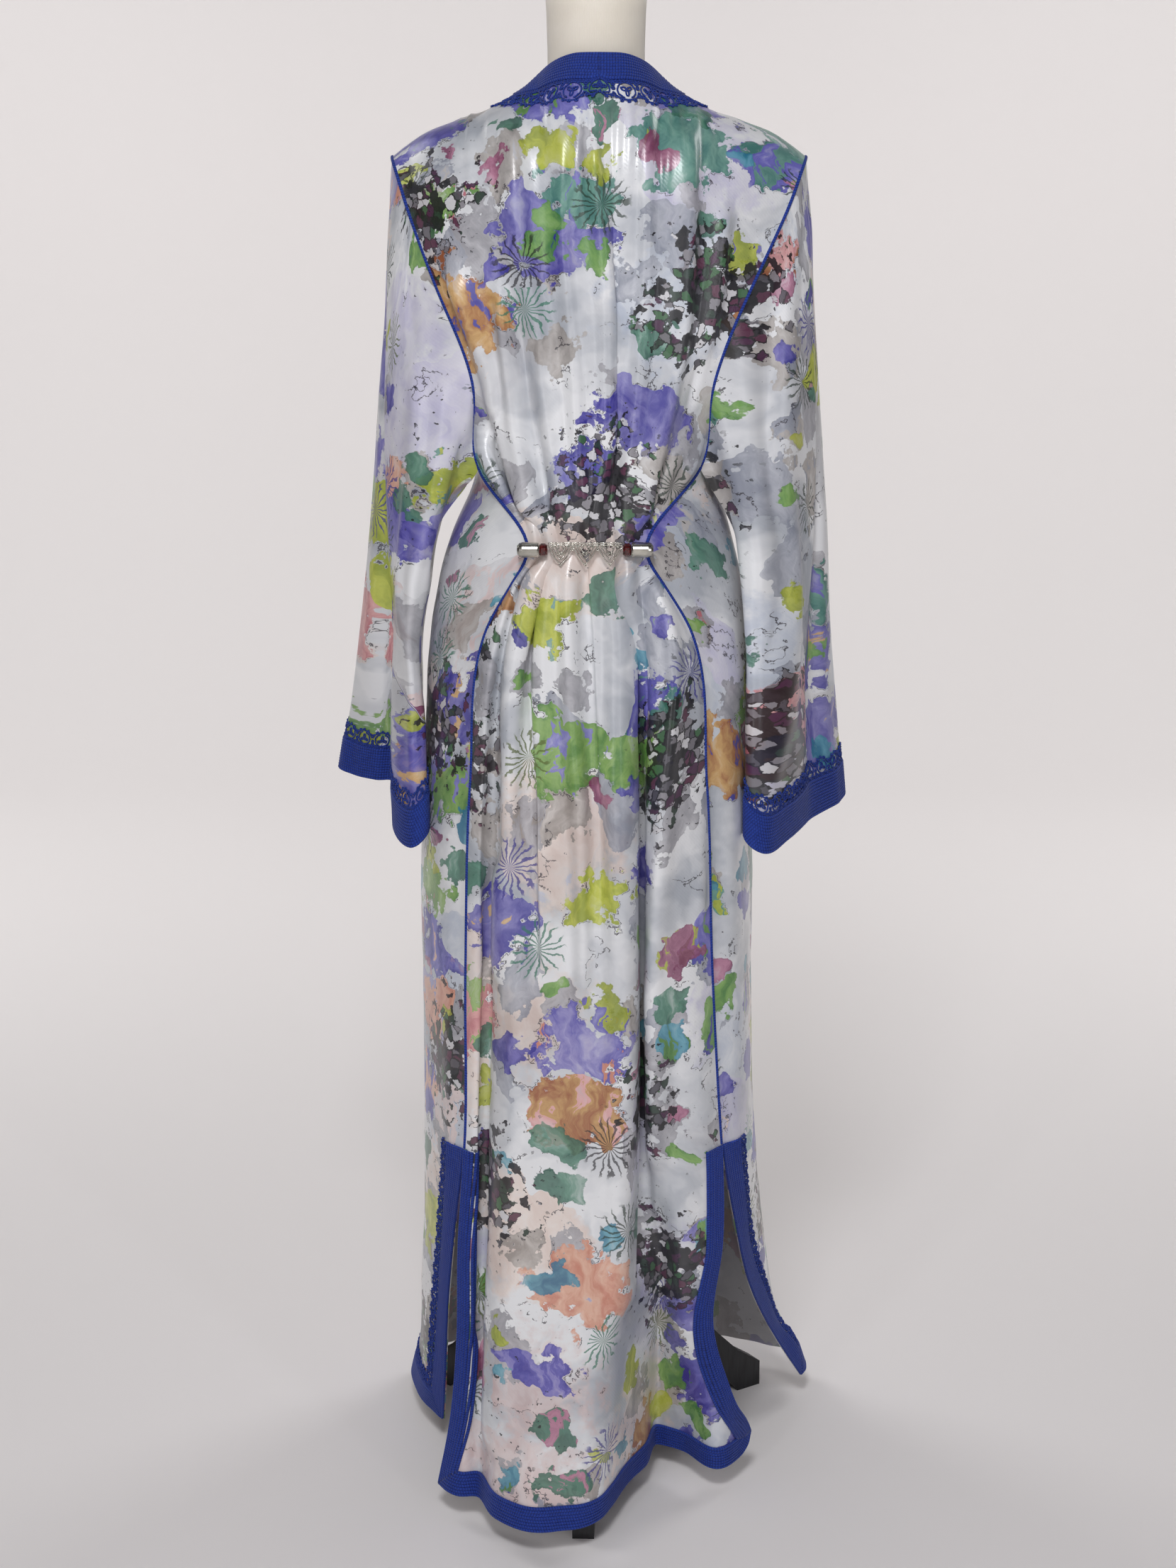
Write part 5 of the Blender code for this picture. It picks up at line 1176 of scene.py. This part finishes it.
def addTrims(name, strip, distances, spec, braidNode, laceNode=None, seed=0):
    cords, radius = braidCords(strip, distances, *spec["braid"], spec["closed"])
    made = {braidNode: addTubes(name + "Braid", cords, radius, braidBlue, seed=seed)}
    if laceNode:
        strokes = laceOn(strip, distances, *spec["lace"], spec["closed"], seed)
        made[laceNode] = addTubes(name + "Lace", strokes, spec["radius"], laceBlue, sides=6, seed=seed + 1)
    for node, piece in made.items():
        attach(piece, "root")
        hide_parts(node)
    return list(made.values())


trims = {}
neckDistances = np.arange(.0006, .0605, .002)
trims["neck"] = addTrims("neck", neckStrip(neckDistances), neckDistances, trimSpecs["neck"], "neck_braid",
                         "neck_lace", 40)
edgeDistances = np.arange(.0, .0505, .002)
trims["back"] = addTrims("backEdge", edgeStrip(backGrid, backOut, edgeDistances[:16]), edgeDistances[:16],
                         trimSpecs["hem"], "back_edge_braid", seed=44)
trims["front"] = addTrims("frontEdge", edgeStrip(frontGrid, frontOut, edgeDistances), edgeDistances,
                          trimSpecs["hem"],
                          "front_edge_braid", "front_edge_lace", 48)
cuffDistances = np.arange(.0, .0645, .002)
for name in ("left", "right"):
    strip = cuffStrip(sleeveGrids[name], sleeveOuts[name], cuffDistances)
    trims[name] = addTrims(name + "Cuff", strip, cuffDistances, trimSpecs["cuff"], "cuff_braid_" + name,
                           "cuff_lace_" + name, 52)
print("trims made")

# Piping along the seams

piping = dict(radius=.0017, seat=.0006)


def addPiping(name, path, outward, closed, node):
    piece = addTubes(name, [(path + unit(outward) * piping["seat"], closed)], piping["radius"], braidBlue,
                     sides=10, wobble=.06)
    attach(piece, "root")
    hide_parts(node)
    return piece


for name, edge in (("left", 0), ("right", -1)):
    ring = sleeveGrids[name][0]
    panels = np.concatenate([backOut[: armholeRows + 1, edge], frontOut[armholeRows - 1 : 0 : -1, edge]])
    trims[name].append(addPiping(name + "ArmholePiping", ring, panels + sleeveOuts[name][0], True,
                                 "armhole_piping_" + name))
    rows = slice(armholeRows, slitRow + 1)
    path = backGrid[rows, edge]
    trims[name].append(addPiping(name + "SidePiping", path, backOut[rows, edge] + frontOut[rows, edge],
                                 False, "side_piping_" + name))
print("piping made")

# Waist clip: the CAD clamps and collars stay, and a filigree chain takes the place of the plain bar

chain = dict(
    height=1.038, y=-.1404, links=3, wire=.00068,
    top=.0068, swag=.0185, point=1.5,  # upper edge over the clip's height, drop and sharpness of each scallop
    scrolls=((.15, .0026, .13), (.36, .0034, .10), (.0, -.0042, .12)),  # share of a link, height, size
)


def scroll(middle, radius, turns, start, way):
    share = np.linspace(0, 1, 18)
    angles, reach = start + way * share * turns, radius * (1 - .8 * share)
    return np.stack([middle[0] + reach * np.cos(angles), middle[1] + reach * np.sin(angles)], axis=-1)


def scallop(middle, half, drop, top):
    share = np.linspace(-1, 1, 21)
    return np.stack([middle + share * half, top - drop * (1 - np.abs(share) ** chain["point"])], axis=-1)


def addChain():
    low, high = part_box("clip_bar")
    left, right = low[0] + .0006, high[0] - .0006
    pitch, edge = (right - left) / chain["links"], chain["top"] - .002
    strokes = []

    def draw(flat, closed=False):
        y = chain["y"] + .0006 * np.sin(flat[:, 0] * 900)
        strokes.append((np.stack([flat[:, 0], y, chain["height"] + flat[:, 1]], axis=-1), closed))

    for k in range(chain["links"]):
        middle = left + (k + .5) * pitch
        for depth, wide in ((1, .5), (.74, .38), (.46, .24)):
            draw(scallop(middle, pitch * wide, chain["swag"] * depth, edge))
        for away, up, size in chain["scrolls"]:
            for way in (-1, 1):
                draw(scroll((middle + way * pitch * away, up), pitch * size, 5.2,
                            math.pi / 2 - way * math.pi / 2, way))
        draw(arc((middle, edge - chain["swag"] * 1.04), .0010, 0, 320, 8), True)
        draw(arc((middle + pitch / 2, .0005), .0012, 0, 320, 8), True)
    for level in (chain["top"], edge):
        draw(np.array([[x, level] for x in np.linspace(left, right, 30)]))
    piece = addTubes("clipFiligree", strokes, chain["wire"], silver, sides=7, wobble=.1, seed=3)
    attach(piece, "root")
    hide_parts("clip_bar")


addChain()

# Dress form and stand

def refined(node, name, material):
    # a copy of a CAD solid with its seams merged, shaded smooth
    mesh = nodes[node].data.copy()
    mesh.name = name
    work = bmesh.new()
    work.from_mesh(mesh)
    bmesh.ops.remove_doubles(work, verts=work.verts, dist=1e-5)
    work.to_mesh(mesh)
    work.free()
    mesh.materials.clear()
    mesh.materials.append(material)
    for face in mesh.polygons:
        face.use_smooth = True
        face.material_index = 0
    piece = bpy.data.objects.new(name, mesh)
    bpy.context.scene.collection.objects.link(piece)
    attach(piece, "root")
    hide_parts(node)
    return piece


torso = refined("form_torso", "dressFormTorso", jersey)
for node in ("form_neck_cap", "form_base", "stand_hub", "stand_pole", "stand_leg_near", "stand_leg_right",
             "stand_leg_left"):
    nodes[node].material_slots[0].material = wood
for side in ("left", "right"):
    nodes["clip_clamp_" + side].material_slots[0].material = silver
    nodes["clip_collar_" + side].material_slots[0].material = redStone

# The cloth pieces go on the root body in the place of the CAD panels and sleeves

for name, piece in sheets.items():
    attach(piece, "root")
    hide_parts(name + "_panel" if name in ("back", "front") else "sleeve_" + name)

# Stage

# where the walls begin, the radius of their bend, and how far they reach to the sides and up
stage = dict(behind=3.2, before=-4.6, bend=1.4, side=24, top=7)
lamps = dict(
    # place, aim, width and height, watts, colour
    keyLight=((-.2, -2.3, 2.95), (0, 0, 1.0), (.6, .6), 40, "#fbfcff"),
    foldLightLeft=((-.95, -2.3, 1.25), (0, 0, .9), (.10, 1.7), 5.5, "#fbfcff"),
    foldLightRight=((1.25, -2.2, 1.25), (0, 0, .9), (.10, 1.7), 4.5, "#f5f7ff"),
    wallLightLeft=((-2.4, 1.9, 2.6), (-.6, 3.6, .2), (1.6, 1.6), 46),
    wallLightRight=((2.4, 1.9, 2.6), (.6, 3.6, .2), (1.6, 1.6), 46),
    wallLightFront=((0, -3.3, 3.4), (0, -5.6, .6), (2.4, .8), 52),
)
view = dict(place=(-.011, -2.515, 1.365), down=13.3, lens=56.2)


def paleFloor():
    material, tree, shader = newMaterial("paleStudioFloor", Roughness=.75)
    shader.inputs["Base Color"].default_value = hexColour("#f6f2f1")
    return material


def addFloor():
    # a level floor that sweeps up into a wall behind the object and another behind the camera
    turns = np.radians(np.arange(6, 91, 6))
    bend = [(stage["bend"] * math.sin(a), stage["bend"] * (1 - math.cos(a))) for a in turns]
    behind = [(stage["behind"] + y, z) for y, z in bend] + [(stage["behind"] + stage["bend"], stage["top"])]
    before = [(stage["before"] - y, z) for y, z in bend] + [(stage["before"] - stage["bend"], stage["top"])]
    profile = before[::-1] + [(stage["before"], 0), (stage["behind"], 0)] + behind
    points = [(x, y, z) for y, z in profile for x in (-stage["side"], stage["side"])]
    faces = [(2 * i, 2 * i + 1, 2 * i + 3, 2 * i + 2) for i in range(len(profile) - 1)]
    floor = addMesh("studioFloor", points, faces, [paleFloor()])


def addLight(name, place, aim, size, power, colour="#ffffff"):
    light = bpy.data.lights.new(name, "AREA")
    light.shape, light.energy, light.color = "RECTANGLE", power, hexColour(colour)[:3]
    light.size, light.size_y = size
    lamp = bpy.data.objects.new(name, light)
    lamp.location = place
    lamp.rotation_euler = (Vector(aim) - Vector(place)).to_track_quat("-Z", "Y").to_euler()
    bpy.context.scene.collection.objects.link(lamp)


def addStage():
    addFloor()
    for name, values in lamps.items():
        addLight(name, *values)
    world = bpy.data.worlds.new("studioAir")
    world.use_nodes = True
    world.node_tree.nodes["Background"].inputs["Color"].default_value = hexColour("#f2eeee")
    world.node_tree.nodes["Background"].inputs["Strength"].default_value = .08
    bpy.context.scene.world = world
    bpy.context.scene.view_settings.view_transform = "Standard"
    camera = bpy.data.cameras.new("camera")
    camera.lens, camera.sensor_width = view["lens"], 36
    eye = bpy.data.objects.new("camera", camera)
    eye.location = view["place"]
    eye.rotation_euler = (math.radians(90 - view["down"]), 0, 0)
    bpy.context.scene.collection.objects.link(eye)
    bpy.context.scene.camera = eye


addStage()
